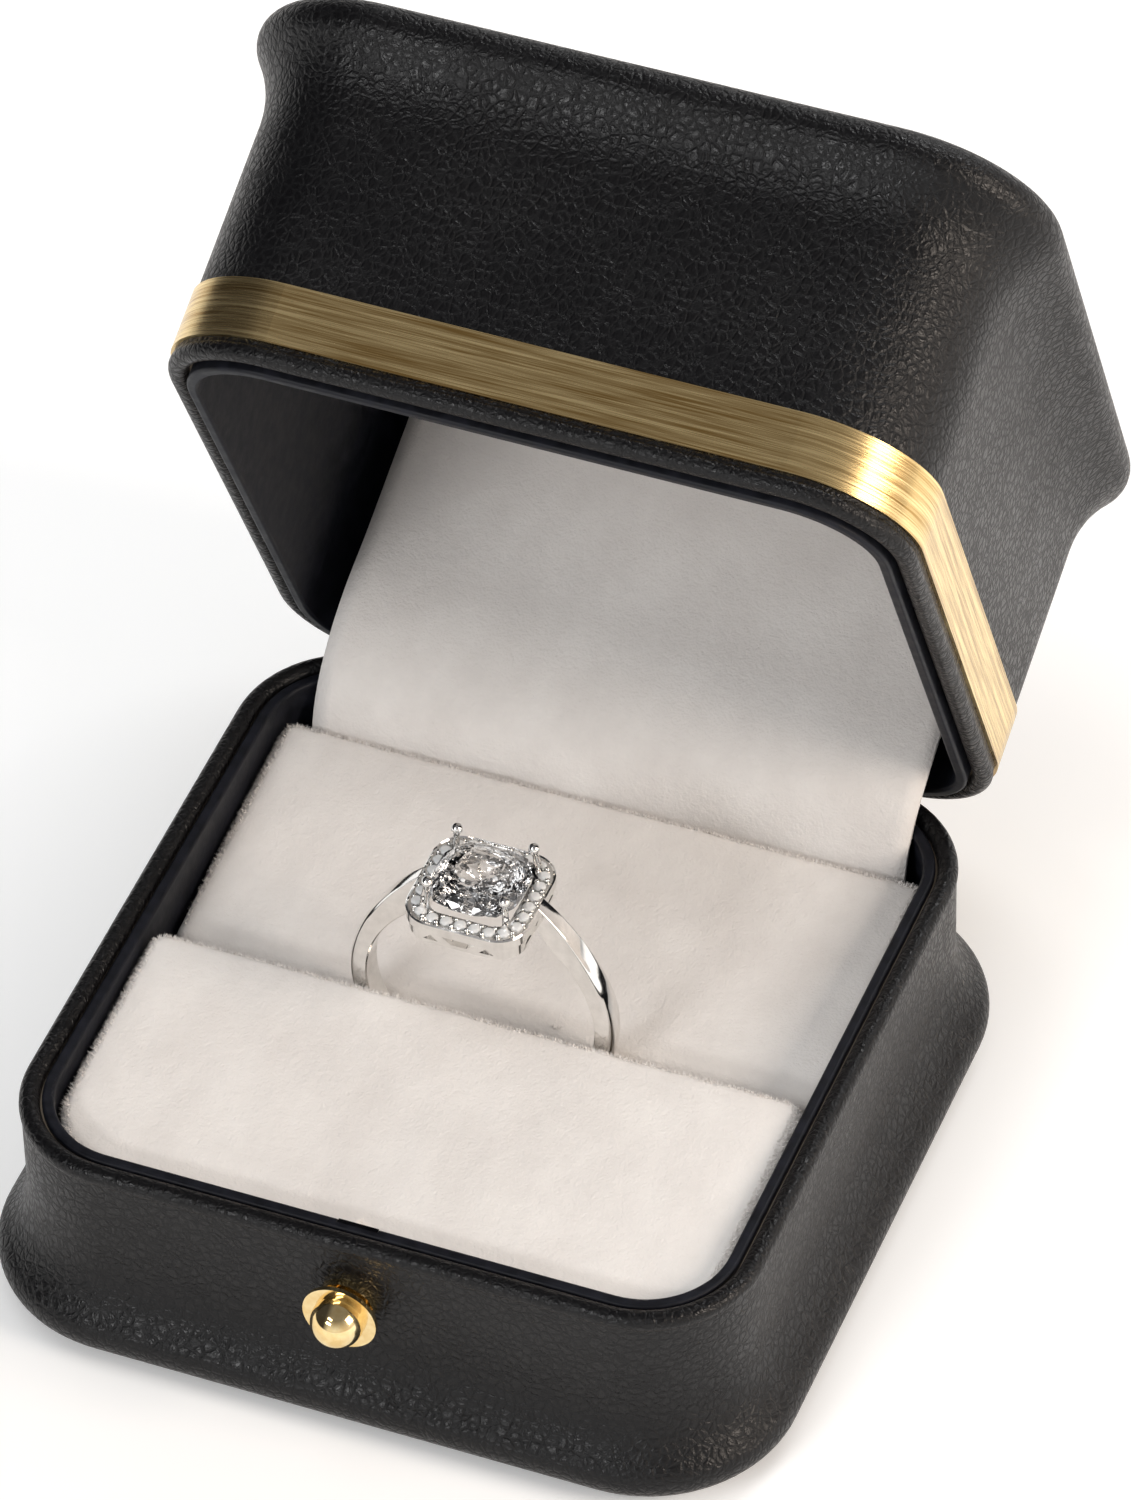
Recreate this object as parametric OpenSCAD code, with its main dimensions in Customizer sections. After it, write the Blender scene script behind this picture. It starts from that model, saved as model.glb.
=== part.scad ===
// Ring display box: a leather covered, push-button box with a sprung lid,
// a gold band, a slotted velvet pad and the ring that the pad holds.
// Front is -Y, the hinge is at +Y, +Z is up, and the origin is the middle of the underside.
// Walls are drawn as outlines in x and u: x is measured from a corner's centre
// outwards, and u is the distance from the rim, down on the base and up on the lid.

/* [Box] */
// Width across the side walls
box_w = 55; // [48:0.5:70]
// Depth across the front and back walls
box_d = 55; // [50:0.5:70]
// Height of the base, from the underside to its rim
base_h = 17.3; // [16.5:0.1:22]
// Height of the lid, from its rim to its top
lid_h = 28.25; // [26.5:0.05:36]
// Outer radius of the upright corners
corner_r = 8.5; // [7:0.1:11]
// Gap between the two rims when the lid is shut
rim_gap = 0.6; // [0.5:0.05:1]
// How far the lid stands open, in degrees from shut
lid_open = 65.6; // [40:0.1:70]

/* [Walls] */
// Thickness of the leather cover
cover_t = 0.8; // [0.7:0.05:1]
// Thickness of the shell's walls
shell_t = 1.2; // [1:0.05:1.6]
// Thickness of the lining collar
liner_t = 0.4; // [0.3:0.05:0.6]
// Radius of the leather bead along each rim
bead_r = 0.75; // [0.6:0.05:0.8]
// How far the bead stands out over the wall
bead_proud = 0.12; // [0.05:0.01:0.15]
// Depth of the lining's lip below the bead's top
lip_drop = 0.35; // [0.2:0.05:0.45]
// Height of the lining's lip
lip_h = 0.55; // [0.4:0.05:0.7]
// Distance from the lid's rim to its leather bead
lid_bead_u = 0.6; // [0.4:0.05:0.6]
// Distance from the lid's rim to its collar's lip
lid_lip_u = 0.25; // [0.2:0.05:0.35]
// Thickness of the base's floor
floor_t = 1.5; // [1.2:0.1:2]
// Thickness of the lid's ceiling
ceiling_t = 1.5; // [1.2:0.1:2.5]
// Thickness of the felt under the base
felt_t = 0.6; // [0.4:0.1:1]
// How far the felt keeps inside the foot's flat
felt_inset = 0.3; // [0.2:0.1:1]
// How far the cover is turned in under the base
turn_in = 6; // [4:0.5:7]

/* [Foot and crown] */
// How far the base's foot flares out
foot_flare = 2.45; // [1:0.05:2.6]
// Straight part of the base's wall, from its rim
foot_straight = 8.8; // [8:0.1:9.5]
// How far the lid's crown flares out
crown_flare = 2.35; // [1:0.05:2.8]
// Straight part of the lid's wall, from its rim
crown_straight = 19.8; // [16:0.1:21]
// Radius of the rounded edge around foot and crown
edge_r = 1.9; // [1.5:0.05:2.2]

/* [Band] */
// Height of the gold band
band_h = 4.5; // [3:0.1:6]
// Distance from the lid's rim to the band
band_u = 2.1; // [1.5:0.05:3]
// Thickness of the band's strip
band_t = 0.5; // [0.4:0.05:0.6]
// How far the band stands proud of the leather
band_proud = 0.25; // [0.15:0.05:0.3]

/* [Pad] */
// Height of the front pad's top above the underside
pad_front_z = 15.3; // [15.2:0.1:15.6]
// Height of the rear pad's top above the underside
pad_rear_z = 12.9; // [12:0.1:15]
// Width of the slot that holds the ring
slot_w = 2.7; // [2.5:0.1:4]
// Thickness of the card platform
platform_t = 0.8; // [0.6:0.1:1.2]
// Gap between the platform and the lining collar
platform_gap = 0.2; // [0.1:0.05:0.4]
// Gap between the pads and the lining collar
pad_gap = 0.3; // [0.2:0.05:0.6]
// Space behind the rear pad for the flap and the hinge
hinge_space = 3.7; // [3.4:0.1:5]

/* [Linings] */
// Width of the lining sheet in the lid
lining_w = 46; // [40:0.5:46]
// Thickness of the velvet lining on its card
lining_t = 1; // [0.6:0.1:1.4]
// Distance from the lid's back lining collar to the lining sheet
lining_back = 4.8; // [4:0.1:6]
// Distance from the lid's front lining collar to the lining sheet
lining_front = 1.7; // [1.6:0.1:3]
// Thickness of the foam over the lining sheet
foam_t = 2; // [1:0.1:3]
// Radius of the bends in the lining sheet
lining_bend = 7.5; // [5:0.5:9]
// Distance from the lid's rim to the sheet's rear edge
lining_rear_u = 0.4; // [0.2:0.1:3]
// Distance from the lid's rim to the sheet's front edge
lining_front_u = 12; // [9:0.5:14]
// Width of the hinge flap
flap_w = 43; // [36:0.5:43]
// Thickness of the hinge flap
flap_t = 1; // [0.6:0.1:1.2]
// Height of the flap's top edge above the base's rim
flap_rise = 0.2; // [0:0.1:0.3]
// How far the flap's top leans back
flap_lean = 1.7; // [1:0.1:1.8]

/* [Hinge] */
// Distance from the back of the box to the hinge axis
hinge_inset = 2.5; // [2.4:0.05:2.6]
// Distance from the base's rim down to the hinge axis
hinge_drop = 3.5; // [3.4:0.05:3.6]
// Radius of the hinge pin
pin_r = 0.5; // [0.4:0.05:0.6]
// Radius of the pin's heads
pin_head_r = 0.8; // [0.7:0.05:0.9]
// Thickness of the pin's heads
pin_head_t = 0.4; // [0.3:0.05:0.5]
// Radial clearance of the pin in the turning knuckles
pin_clear = 0.05; // [0.03:0.01:0.08]
// Outer radius of the knuckles
knuckle_r = 1.1; // [1:0.05:1.2]
// Overall length of the hinge
hinge_w = 24; // [22:0.5:30]
// Length of each fixed knuckle
base_knuckle_w = 3.7; // [3:0.1:4]
// Length of each turning knuckle
lid_knuckle_w = 3.8; // [3:0.1:4]
// Gap between knuckles along the pin
knuckle_gap = 0.2; // [0.1:0.05:0.3]
// Thickness of the hinge leaves
leaf_t = 0.5; // [0.4:0.05:0.6]
// Length of the base's leaf below the axis
base_leaf_h = 8; // [7:0.5:9]
// Length of the lid's leaf above the axis
lid_leaf_h = 10.5; // [9:0.5:12]
// Radius of the wire in the hinge spring
hinge_wire_r = 0.28; // [0.2:0.01:0.3]
// Gap between the hinge's notch and its parts
notch_gap = 0.3; // [0.2:0.05:0.5]
// Gap left between the open lid's leaf and the sill that stops it
stop_gap = 0.1; // [0.05:0.05:0.3]

/* [Rivets] */
// Radius of a rivet's shank
rivet_r = 0.5; // [0.4:0.05:0.6]
// Radius of a rivet's head
rivet_head_r = 1; // [0.8:0.05:1.2]
// Thickness of a rivet's head
rivet_head_t = 0.35; // [0.3:0.05:0.4]
// How far a rivet goes into the shell
rivet_grip = 1; // [0.6:0.05:1]
// Sideways place of the base leaf's rivets
base_rivet_x = 9.5; // [8:0.1:10.5]
// Distance of the base leaf's rivets below the axis
base_rivet_drop = 5.3; // [4:0.1:6]
// Sideways place of the lid leaf's rivets
lid_rivet_x = 5.5; // [4:0.1:6]
// Distance of the lid leaf's rivets above the axis
lid_rivet_rise = 7.2; // [6:0.1:8]

/* [Button] */
// Height of the button's axis above the underside
button_z = 11.5; // [10.8:0.1:11.6]
// Radius of the button's domed head
dome_r = 1.92; // [1.6:0.02:2.2]
// Radius of the button's brim
brim_r = 2.75; // [2.4:0.05:3]
// Thickness of the brim
brim_t = 0.35; // [0.25:0.05:0.5]
// Radius of the button's neck
neck_r = 1.25; // [1.1:0.05:1.3]
// Radius of the button's stem
stem_r = 0.6; // [0.5:0.05:0.7]
// Running clearance of the neck and the stem in the bushing
button_clear = 0.05; // [0.03:0.01:0.08]
// How far the button goes in
button_travel = 0.8; // [0.6:0.05:0.8]
// Gap left between the brim and the collar when pressed
button_gap = 0.05; // [0.05:0.01:0.2]
// Radius of the bushing's collar
collar_r = 2.1; // [1.9:0.05:2.4]
// Thickness of the bushing's collar
collar_t = 0.6; // [0.4:0.05:0.8]
// Radius of the bushing's sleeve
sleeve_r = 1.65; // [1.6:0.05:1.7]
// Thickness of the bushing's inner end
sleeve_end_t = 0.5; // [0.4:0.05:0.6]
// Radius of the wire in the button's spring
button_wire_r = 0.2; // [0.15:0.01:0.25]

/* [Magnets] */
// Width of each magnet
magnet_w = 8; // [5:0.5:12]
// Thickness of each magnet
magnet_t = 0.8; // [0.6:0.05:0.9]
// Height of each magnet
magnet_h = 3; // [2:0.1:4]

/* [Opener] */
// Rise of the pusher for each millimetre that the button goes in
opener_slope = 1.5; // [1.2:0.1:1.5]
// Width of the wedge on the button's stem
wedge_w = 2.4; // [2:0.1:2.6]
// Length of the wedge along the stem
wedge_l = 1; // [0.9:0.05:1.1]
// Height of the wedge's upper edge above the stem's axis
wedge_rise = 1.4; // [1.35:0.05:1.45]
// Depth of the wedge below the stem's axis
wedge_drop = 1.2; // [1:0.1:1.4]
// Gap between the wedge and the bushing's inner end at rest
wedge_gap = 0.1; // [0.05:0.01:0.15]
// How far the stem goes into the wedge
wedge_grip = 0.4; // [0.3:0.05:0.4]
// Width of the pusher
pusher_w = 3; // [2.6:0.1:3.4]
// Thickness of the pusher's arm over the wedge
pusher_arm_t = 0.4; // [0.3:0.05:0.45]
// Running clearance of the pusher over the wedge and in its slot
pusher_clear = 0.08; // [0.05:0.01:0.1]
// Gap left between the raised pusher and the shut lid
pusher_lid_gap = 0.05; // [0.05:0.01:0.2]
// Gap around the opener inside the front pad
pad_pocket_gap = 0.4; // [0.3:0.05:0.5]

/* [Ring] */
// Radius of the finger hole
finger_r = 8.65; // [7.5:0.05:9]
// Thickness of the ring's band
shank_t = 1.7; // [1.2:0.05:1.8]
// Width of the ring's band
shank_w = 2.1; // [1.6:0.05:2.1]
// Thickness of the band under the head
bridge_t = 0.75; // [0.6:0.05:0.9]
// Angle from the top at which each shoulder leaves the band
shoulder_angle = 60; // [54:1:64]
// Outer radius of each shoulder's arc
shoulder_r = 18; // [16:0.5:20]
// Thickness of each shoulder
shoulder_t = 0.75; // [0.6:0.05:0.9]
// Width of each shoulder
shoulder_w = 1.3; // [1:0.05:1.6]
// Gap between the ring and the platform that it stands on
ring_seat_gap = 0.3; // [0.2:0.05:0.4]
// Gap between the ring and the front pad
ring_pad_gap = 0.3; // [0.2:0.05:0.5]
// Half width of the gallery under the halo
gallery_half = 4.6; // [4:0.05:4.8]
// Thickness of the gallery's wall
gallery_wall = 0.6; // [0.4:0.05:0.8]
// Half width of the halo
halo_half = 5.25; // [5:0.05:5.6]
// Thickness of the halo
halo_t = 1; // [0.8:0.05:1.2]
// Distance from the finger hole's top to the halo's underside
halo_rise = 1.35; // [1.3:0.05:1.8]
// Half width of the halo's opening
halo_hole_half = 3; // [2.6:0.05:3.1]
// Corner radius of the halo
halo_corner_r = 2.2; // [1.8:0.05:2.6]
// Number of stones around the halo
halo_count = 30; // [24:1:32]
// Radius of each halo stone
halo_stone_r = 0.46; // [0.4:0.01:0.48]
// Distance from the halo's edge to the row of stones
halo_stone_inset = 0.8; // [0.7:0.05:0.9]
// Half width of the centre stone
stone_half = 3.6; // [3:0.05:3.7]
// Height of the centre stone's crown
crown_h = 1; // [0.7:0.05:1.2]
// Depth of the centre stone's pavilion
pavilion_h = 2.5; // [2:0.05:2.5]
// Height of the centre stone's girdle above the halo
girdle_rise = 0.85; // [0.85:0.05:1]
// Radius of the claws
claw_r = 0.33; // [0.25:0.01:0.36]
// Radius of the claws' tips
claw_tip_r = 0.5; // [0.4:0.01:0.5]

/* [Hidden] */
$fn = 64;

// Clearance where one fixed piece is fitted around another
fit_gap = 0.02;
// Overlap that joins the pieces of one solid, and that cuts run past a face
lap = 1;

// Wall, measured inwards from the outer face
shell_out = cover_t;
shell_in = cover_t + shell_t;
wall_t = cover_t + shell_t + liner_t;
// Lining lip and shell top, as distances from the rim
lip_u = lip_drop;
shell_top_u = lip_drop + lip_h;
lid_shell_top_u = lid_bead_u + shell_top_u;
// Floors and ceilings, as distances from the rim
base_end_u = base_h - felt_t;
base_floor_u = base_end_u - cover_t - floor_t;
lid_ceiling_u = lid_h - cover_t - ceiling_t;
floor_z = base_h - base_floor_u;
lid_rim_z = base_h + rim_gap;
// Half sizes of the room inside the linings
inner_x = box_w / 2 - wall_t;
inner_y = box_d / 2 - wall_t;
inner_r = corner_r - wall_t;
// Outer and inner faces of the front and back walls
front_face = -box_d / 2;
shell_front = front_face + shell_in;
shell_back = box_d / 2 - shell_in;
// Hinge axis
axis_y = box_d / 2 - hinge_inset;
axis_z = base_h - hinge_drop;
knuckle_far = hinge_w / 2;
base_knuckle_x = knuckle_far - base_knuckle_w;
lid_knuckle_far = base_knuckle_x - knuckle_gap;
lid_knuckle_x = lid_knuckle_far - lid_knuckle_w;
leaf_in = shell_back - leaf_t;
// Ring
shank_out = finger_r + shank_t;
platform_top = floor_z + 3.3;
ring_z = platform_top + ring_seat_gap + shank_out;
slot_front_y = -2.9;
slot_rear_y = slot_front_y + slot_w;
ring_y = slot_front_y + ring_pad_gap + shank_w / 2;
halo_z = ring_z + finger_r + halo_rise;
girdle_z = halo_z + halo_t + girdle_rise;
// Pads
pad_rear_y = inner_y - hinge_space;
// Button, measured outwards from the front face
collar_top = collar_t;
brim_back = collar_top + button_travel + button_gap;
neck_end = -0.5;
spring_seat = -wall_t + sleeve_end_t;
// Opener's places
wedge_front = -inner_y + wedge_gap;
wedge_back = wedge_front + wedge_l;
pusher_front = -inner_y - liner_t + fit_gap;
pusher_low = button_z + sleeve_r + pusher_clear;
pusher_rise = button_travel * opener_slope;
pusher_top = lid_rim_z + lid_lip_u - pusher_rise - pusher_lid_gap;

// Lid's lining sheet, as places in the shut lid
lining_top_z = lid_rim_z + lid_ceiling_u - foam_t;
lining_rear_y = inner_y - lining_back;
lining_front_y = -inner_y + lining_front;

// Rounded rectangle with half sizes hx and hy
module rounded(hx, hy, r) {
  square([2 * (hx - r), 2 * hy], center = true);
  square([2 * hx, 2 * (hy - r)], center = true);
  for (sx = [-1, 1], sy = [-1, 1])
    translate([sx * (hx - r), sy * (hy - r)]) circle(r);
}

// Sweeps the children, drawn in x and u, round the box
module around() {
  for (a = [0, 90, 180, 270]) {
    hx = (a % 180 == 0 ? box_w : box_d) / 2 - corner_r;
    hy = (a % 180 == 0 ? box_d : box_w) / 2 - corner_r;
    rotate(a) translate([hx, hy, 0]) {
      rotate_extrude(angle = 90) children();
      rotate([90, 0, 0]) linear_extrude(2 * hy) children();
    }
  }
}

// Slab with the box's rounded plan, drawn inset from the outer face
module slab(inset, u, t) {
  translate([0, 0, u]) linear_extrude(t)
    rounded(box_w / 2 - inset, box_d / 2 - inset, corner_r - inset);
}

// Turns a shape drawn in x and u into the base, whose rim is its top
module as_base() {
  translate([0, 0, base_h]) mirror([0, 0, 1]) children();
}

// Turns a shape drawn in x and u into the shut lid
module as_lid() {
  translate([0, 0, lid_rim_z]) children();
}

// Opens what is drawn in the shut lid's place
module opened() {
  translate([0, axis_y, axis_z]) rotate([-lid_open, 0, 0]) translate([0, -axis_y, -axis_z])
    children();
}

// Rectangle from one corner to the other
module strip(low, high) {
  translate(low) square(high - low);
}

// Everything from x = inside out to a wall's face, t within the leather's outer face:
// a straight side down from the rim, a cove of turn degrees, and a rounded edge
module wall_fill(straight, end, flare, t, inside, top) {
  rise = end - straight - edge_r;
  turn = 2 * atan(flare / rise);
  cove_r = rise / sin(turn) - edge_r;
  edge_x = corner_r + flare - edge_r;
  edge_u = end - edge_r;
  r = edge_r - t;
  difference() {
    polygon([[inside, top], [corner_r - t, top], [corner_r - t, straight],
      [edge_x + r * cos(turn), edge_u - r * sin(turn)], [edge_x, edge_u], [edge_x, end - t],
      [inside, end - t]]);
    translate([corner_r + cove_r, straight]) circle(cove_r + t);
  }
  translate([edge_x, edge_u]) circle(r);
}

// Leather skin of base or lid: bead, wall and the part turned in over the end
module cover_outline(straight, end, flare, turned, bead_u) {
  bead_in = corner_r - 2 * bead_r;
  top = bead_u + shell_top_u;
  difference() {
    wall_fill(straight, end, flare, 0, corner_r - turned, top);
    wall_fill(straight, end, flare, cover_t, corner_r - turned - lap, top - lap);
  }
  intersection() {
    translate([corner_r - bead_r + bead_proud, bead_u + bead_r]) circle(bead_r);
    union() {
      strip([bead_in, bead_u], [corner_r + lap, bead_u + bead_r]);
      strip([corner_r - cover_t / 2, bead_u], [corner_r + lap, bead_u + 2 * bead_r]);
    }
  }
  strip([bead_in + bead_proud, bead_u + bead_r], [corner_r, top]);
  strip([corner_r - cover_t, bead_u + bead_r], [corner_r, top + lap]);
}

// Stiff wall of base or lid, with its inner face upright down to the floor
module shell_outline(straight, end, flare, floor_u, top) {
  difference() {
    wall_fill(straight, end, flare, cover_t, corner_r - shell_in - 2 * lap, top);
    strip([0, 0], [corner_r - shell_in, floor_u]);
  }
}

// Lining collar inside the walls, with its rolled lip over the shell's top
module collar_outline(depth, lip, top) {
  lip_r = 0.25;
  collar_x = corner_r - wall_t;
  lip_x = corner_r - 2 * bead_r - fit_gap;
  strip([collar_x, lip + lip_r], [corner_r - shell_in, depth]);
  strip([collar_x, lip + lip_r], [lip_x, top]);
  strip([collar_x + lip_r, lip], [lip_x - lip_r, top]);
  for (x = [collar_x + lip_r, lip_x - lip_r]) translate([x, lip + lip_r]) circle(lip_r);
}

// Box from one corner to the other
module block(low, high) {
  translate(low) cube(high - low);
}

// Places a shape drawn along z outwards from the front face, on the button's axis
module at_button() {
  translate([0, front_face, button_z]) rotate([90, 0, 0]) children();
}

// Places a shape drawn along z on the hinge axis, starting at x
module at_axis(x) {
  translate([x, axis_y, axis_z]) rotate([0, 90, 0]) children();
}

// Rivet through a leaf into the shell; grow widens the shank for its hole
module rivet(x, z, grow = 0) {
  translate([x, leaf_in, z]) rotate([90, 0, 0]) {
    translate([0, 0, -leaf_t - rivet_grip]) cylinder(h = leaf_t + rivet_grip, r = rivet_r + grow);
    if (grow == 0) cylinder(h = rivet_head_t, r = rivet_head_r);
  }
}

// Rows of rivet places on the two leaves
module base_rivet_row(grow = 0) {
  for (s = [-1, 1]) rivet(s * base_rivet_x, axis_z - base_rivet_drop, grow);
}
module lid_rivet_row(grow = 0) {
  for (s = [-1, 1]) rivet(s * lid_rivet_x, axis_z + lid_rivet_rise, grow);
}

// Room cut for the knuckles, over a sill on which the open lid's leaf comes to rest
module hinge_notch() {
  half = knuckle_far + pin_head_t + 1.2 * notch_gap;
  pocket_bottom = axis_z - knuckle_r - notch_gap;
  pocket_back = axis_y + knuckle_r + notch_gap;
  stop_run = (pocket_back - axis_y) * cos(lid_open) - (shell_back - axis_y);
  sill_z = axis_z + stop_run / sin(lid_open) - stop_gap;
  block([-half, leaf_in - lap, pocket_bottom], [half, pocket_back, base_h + lap]);
  block([-half, leaf_in - lap, sill_z], [half, box_d / 2 + lap, base_h + lap]);
}

// Magnet in the front wall, flush with the shell's edge; grow widens it into its pocket
module magnet(top, grow = 0) {
  middle = front_face + cover_t + shell_t / 2;
  block([-magnet_w / 2 - grow, middle - magnet_t / 2 - grow, top - (grow > 0 ? lap : 0)],
    [magnet_w / 2 + grow, middle + magnet_t / 2 + grow, top + magnet_h + grow]);
}

// Plain coil drawn as a row of closed turns around z
module coil(mean_r, wire_r, length) {
  turns = max(2, floor(length / (1.9 * wire_r)));
  pitch = (length - 2 * wire_r) / (turns - 1);
  rotate_extrude() for (i = [0:turns - 1])
    translate([mean_r, wire_r + i * pitch]) circle(wire_r, $fn = 16);
}

// Square with rounded corners, as the halo's plan
module cushion(half, r) {
  rounded(half, half, r);
}

// Places a shape drawn around z so that it lies round the finger hole
module at_ring() {
  translate([0, ring_y, ring_z]) rotate([90, 0, 0]) children();
}

// Places a shape on the ring's upright centre line, at height z
module on_head(z) {
  translate([0, ring_y, z]) children();
}

// Part of a ring between two angles from the finger hole's right-hand side
module ring_arc(inner, outer, w, from, sweep) {
  rotate(from) rotate_extrude(angle = sweep)
    translate([inner, -w / 2]) square([outer - inner, w]);
}

// ---- Base ----

module base_shell() {
  color("dimgray") difference() {
    as_base() {
      around() shell_outline(foot_straight, base_end_u, foot_flare, base_floor_u, shell_top_u);
      slab(shell_in + lap, base_floor_u, floor_t);
    }
    hinge_notch();
    as_base() magnet(shell_top_u, fit_gap);
    at_button() translate([0, 0, -wall_t - lap]) cylinder(h = wall_t + 2 * lap, r = sleeve_r + fit_gap);
    base_rivet_row(fit_gap);
  }
}

module base_cover() {
  color([0.11, 0.11, 0.12]) difference() {
    as_base() around() cover_outline(foot_straight, base_end_u, foot_flare, turn_in, 0);
    hinge_notch();
    at_button() translate([0, 0, -wall_t - lap]) cylinder(h = wall_t + 2 * lap, r = sleeve_r + fit_gap);
  }
}

module base_liner() {
  leaf_half = knuckle_far + notch_gap;
  color([0.1, 0.1, 0.13]) difference() {
    as_base() around() collar_outline(base_floor_u, lip_u, shell_top_u);
    hinge_notch();
    block([-leaf_half, leaf_in - lap, axis_z - base_leaf_h - notch_gap],
      [leaf_half, shell_back + lap / 2, base_h + lap]);
    at_button() translate([0, 0, -wall_t - lap]) cylinder(h = wall_t + 2 * lap, r = sleeve_r + fit_gap);
    block([-pusher_w / 2 - pusher_clear, pusher_front - fit_gap, button_z],
      [pusher_w / 2 + pusher_clear, -inner_y + lap, base_h + lap]);
  }
}

module bottom_felt() {
  foot_flat = edge_r - foot_flare + felt_inset;
  color([0.09, 0.09, 0.1]) linear_extrude(felt_t)
    rounded(box_w / 2 - foot_flat, box_d / 2 - foot_flat, corner_r - foot_flat);
}

module pad_platform() {
  outer = platform_gap;
  color("tan") difference() {
    translate([0, 0, floor_z]) linear_extrude(platform_top - floor_z)
      rounded(inner_x - outer, inner_y - outer, inner_r - outer);
    translate([0, 0, floor_z - lap]) linear_extrude(platform_top - platform_t - floor_z + lap)
      rounded(inner_x - outer - platform_t, inner_y - outer - platform_t, inner_r - outer - platform_t);
  }
}

// Pad of the given height between two places in y
module pad_block(top, from_y, to_y) {
  translate([0, 0, platform_top]) linear_extrude(top - platform_top) intersection() {
    rounded(inner_x - pad_gap, inner_y - pad_gap, inner_r - pad_gap);
    translate([-box_w / 2, from_y]) square([box_w, to_y - from_y]);
  }
}

module pad_front() {
  half = pusher_w / 2 + pad_pocket_gap;
  low = button_z - wedge_drop - pad_pocket_gap;
  high = pusher_low + pusher_arm_t + pusher_rise + pad_pocket_gap / 4;
  color("whitesmoke") difference() {
    pad_block(pad_front_z, -inner_y, slot_front_y);
    block([-half, -inner_y - lap, low], [half, wedge_back + button_travel + pad_pocket_gap, high]);
  }
}

module pad_rear() {
  color("whitesmoke") pad_block(pad_rear_z, slot_rear_y, pad_rear_y);
}

// Velvet flap that stands behind the rear pad and leans back towards the lid
module hinge_flap() {
  top_z = base_h + flap_rise;
  low_y = pad_rear_y + 0.1;
  color("whitesmoke") rotate([90, 0, 90]) linear_extrude(flap_w, center = true)
    polygon([[low_y, platform_top], [low_y + flap_t, platform_top], [low_y + flap_t, pad_rear_z],
      [low_y + flap_lean + flap_t, top_z], [low_y + flap_lean, top_z], [low_y, pad_rear_z + 0.5]]);
}

module base_hinge_leaf() {
  leaf_top = axis_z - knuckle_r - knuckle_gap;
  leaf_low = axis_z - base_leaf_h;
  color("goldenrod") difference() {
    union() {
      block([-knuckle_far, leaf_in, leaf_low], [knuckle_far, shell_back, leaf_top]);
      for (s = [-1, 1]) {
        x = s > 0 ? base_knuckle_x : -knuckle_far;
        block([x, leaf_in, leaf_low], [x + base_knuckle_w, shell_back, axis_z]);
        at_axis(x) cylinder(h = base_knuckle_w, r = knuckle_r);
      }
    }
    at_axis(-knuckle_far - lap) cylinder(h = hinge_w + 2 * lap, r = pin_r + fit_gap);
    base_rivet_row(fit_gap);
  }
}

module base_rivets() {
  color("gold") base_rivet_row();
}

module hinge_pin() {
  color("silver") {
    at_axis(-knuckle_far) cylinder(h = hinge_w, r = pin_r);
    for (x = [-knuckle_far - pin_head_t, knuckle_far]) at_axis(x) cylinder(h = pin_head_t, r = pin_head_r);
  }
}

module hinge_spring() {
  length = 2 * (lid_knuckle_x - knuckle_gap);
  color("silver") at_axis(-length / 2)
    coil(pin_r + fit_gap + hinge_wire_r, hinge_wire_r, length);
}

module base_magnet() {
  color("silver") as_base() magnet(shell_top_u);
}

module button_bushing() {
  color("gold") at_button() difference() {
    union() {
      cylinder(h = collar_t, r = collar_r);
      translate([0, 0, -wall_t]) cylinder(h = wall_t + collar_t / 2, r = sleeve_r);
    }
    translate([0, 0, spring_seat]) cylinder(h = wall_t + 2 * lap, r = neck_r + button_clear);
    translate([0, 0, -wall_t - lap]) cylinder(h = wall_t + 2 * lap, r = stem_r + button_clear);
  }
}

module button_spring() {
  color("silver") at_button() translate([0, 0, spring_seat])
    coil(neck_r - 0.3, button_wire_r, neck_end - spring_seat);
}

// ---- Button ----

module button_knob() {
  dome_z = brim_back + 0.65;
  stem_end = front_face - wedge_front - wedge_grip;
  color("gold") at_button() {
    translate([0, 0, brim_back]) cylinder(h = brim_t, r = brim_r);
    translate([0, 0, neck_end]) cylinder(h = brim_back + brim_t / 2 - neck_end, r = neck_r);
    translate([0, 0, stem_end]) cylinder(h = neck_end - stem_end + lap / 2, r = stem_r);
    intersection() {
      translate([0, 0, dome_z]) sphere(dome_r);
      translate([0, 0, brim_back]) cylinder(h = 4 * dome_r, r = 2 * dome_r);
    }
  }
}

// Wedge on the stem's end, whose slope lifts the pusher
module lift_wedge() {
  high = button_z + wedge_rise;
  low = button_z - wedge_drop;
  color("dimgray") difference() {
    rotate([90, 0, 90]) linear_extrude(wedge_w, center = true)
      polygon([[wedge_front, low], [wedge_back, low], [wedge_back, high - opener_slope * wedge_l],
        [wedge_front, high]]);
    translate([0, wedge_front - lap, button_z]) rotate([-90, 0, 0])
      cylinder(h = lap + wedge_grip, r = stem_r + fit_gap);
  }
}

// ---- Pusher ----

// Strip that runs up a slot in the collar, with a foot over the wedge
module lid_pusher() {
  foot_front = -inner_y + wedge_gap / 2;
  foot_z = button_z + wedge_rise + pusher_clear;
  arm_top = pusher_low + pusher_arm_t;
  color("silver") rotate([90, 0, 90]) linear_extrude(pusher_w, center = true)
    polygon([[pusher_front, pusher_low], [foot_front, pusher_low], [foot_front, foot_z],
      [wedge_front, foot_z], [wedge_back, foot_z - opener_slope * wedge_l], [wedge_back, arm_top],
      [-inner_y, arm_top], [-inner_y, pusher_top], [pusher_front, pusher_top]]);
}

// ---- Lid, drawn shut and then opened ----

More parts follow.
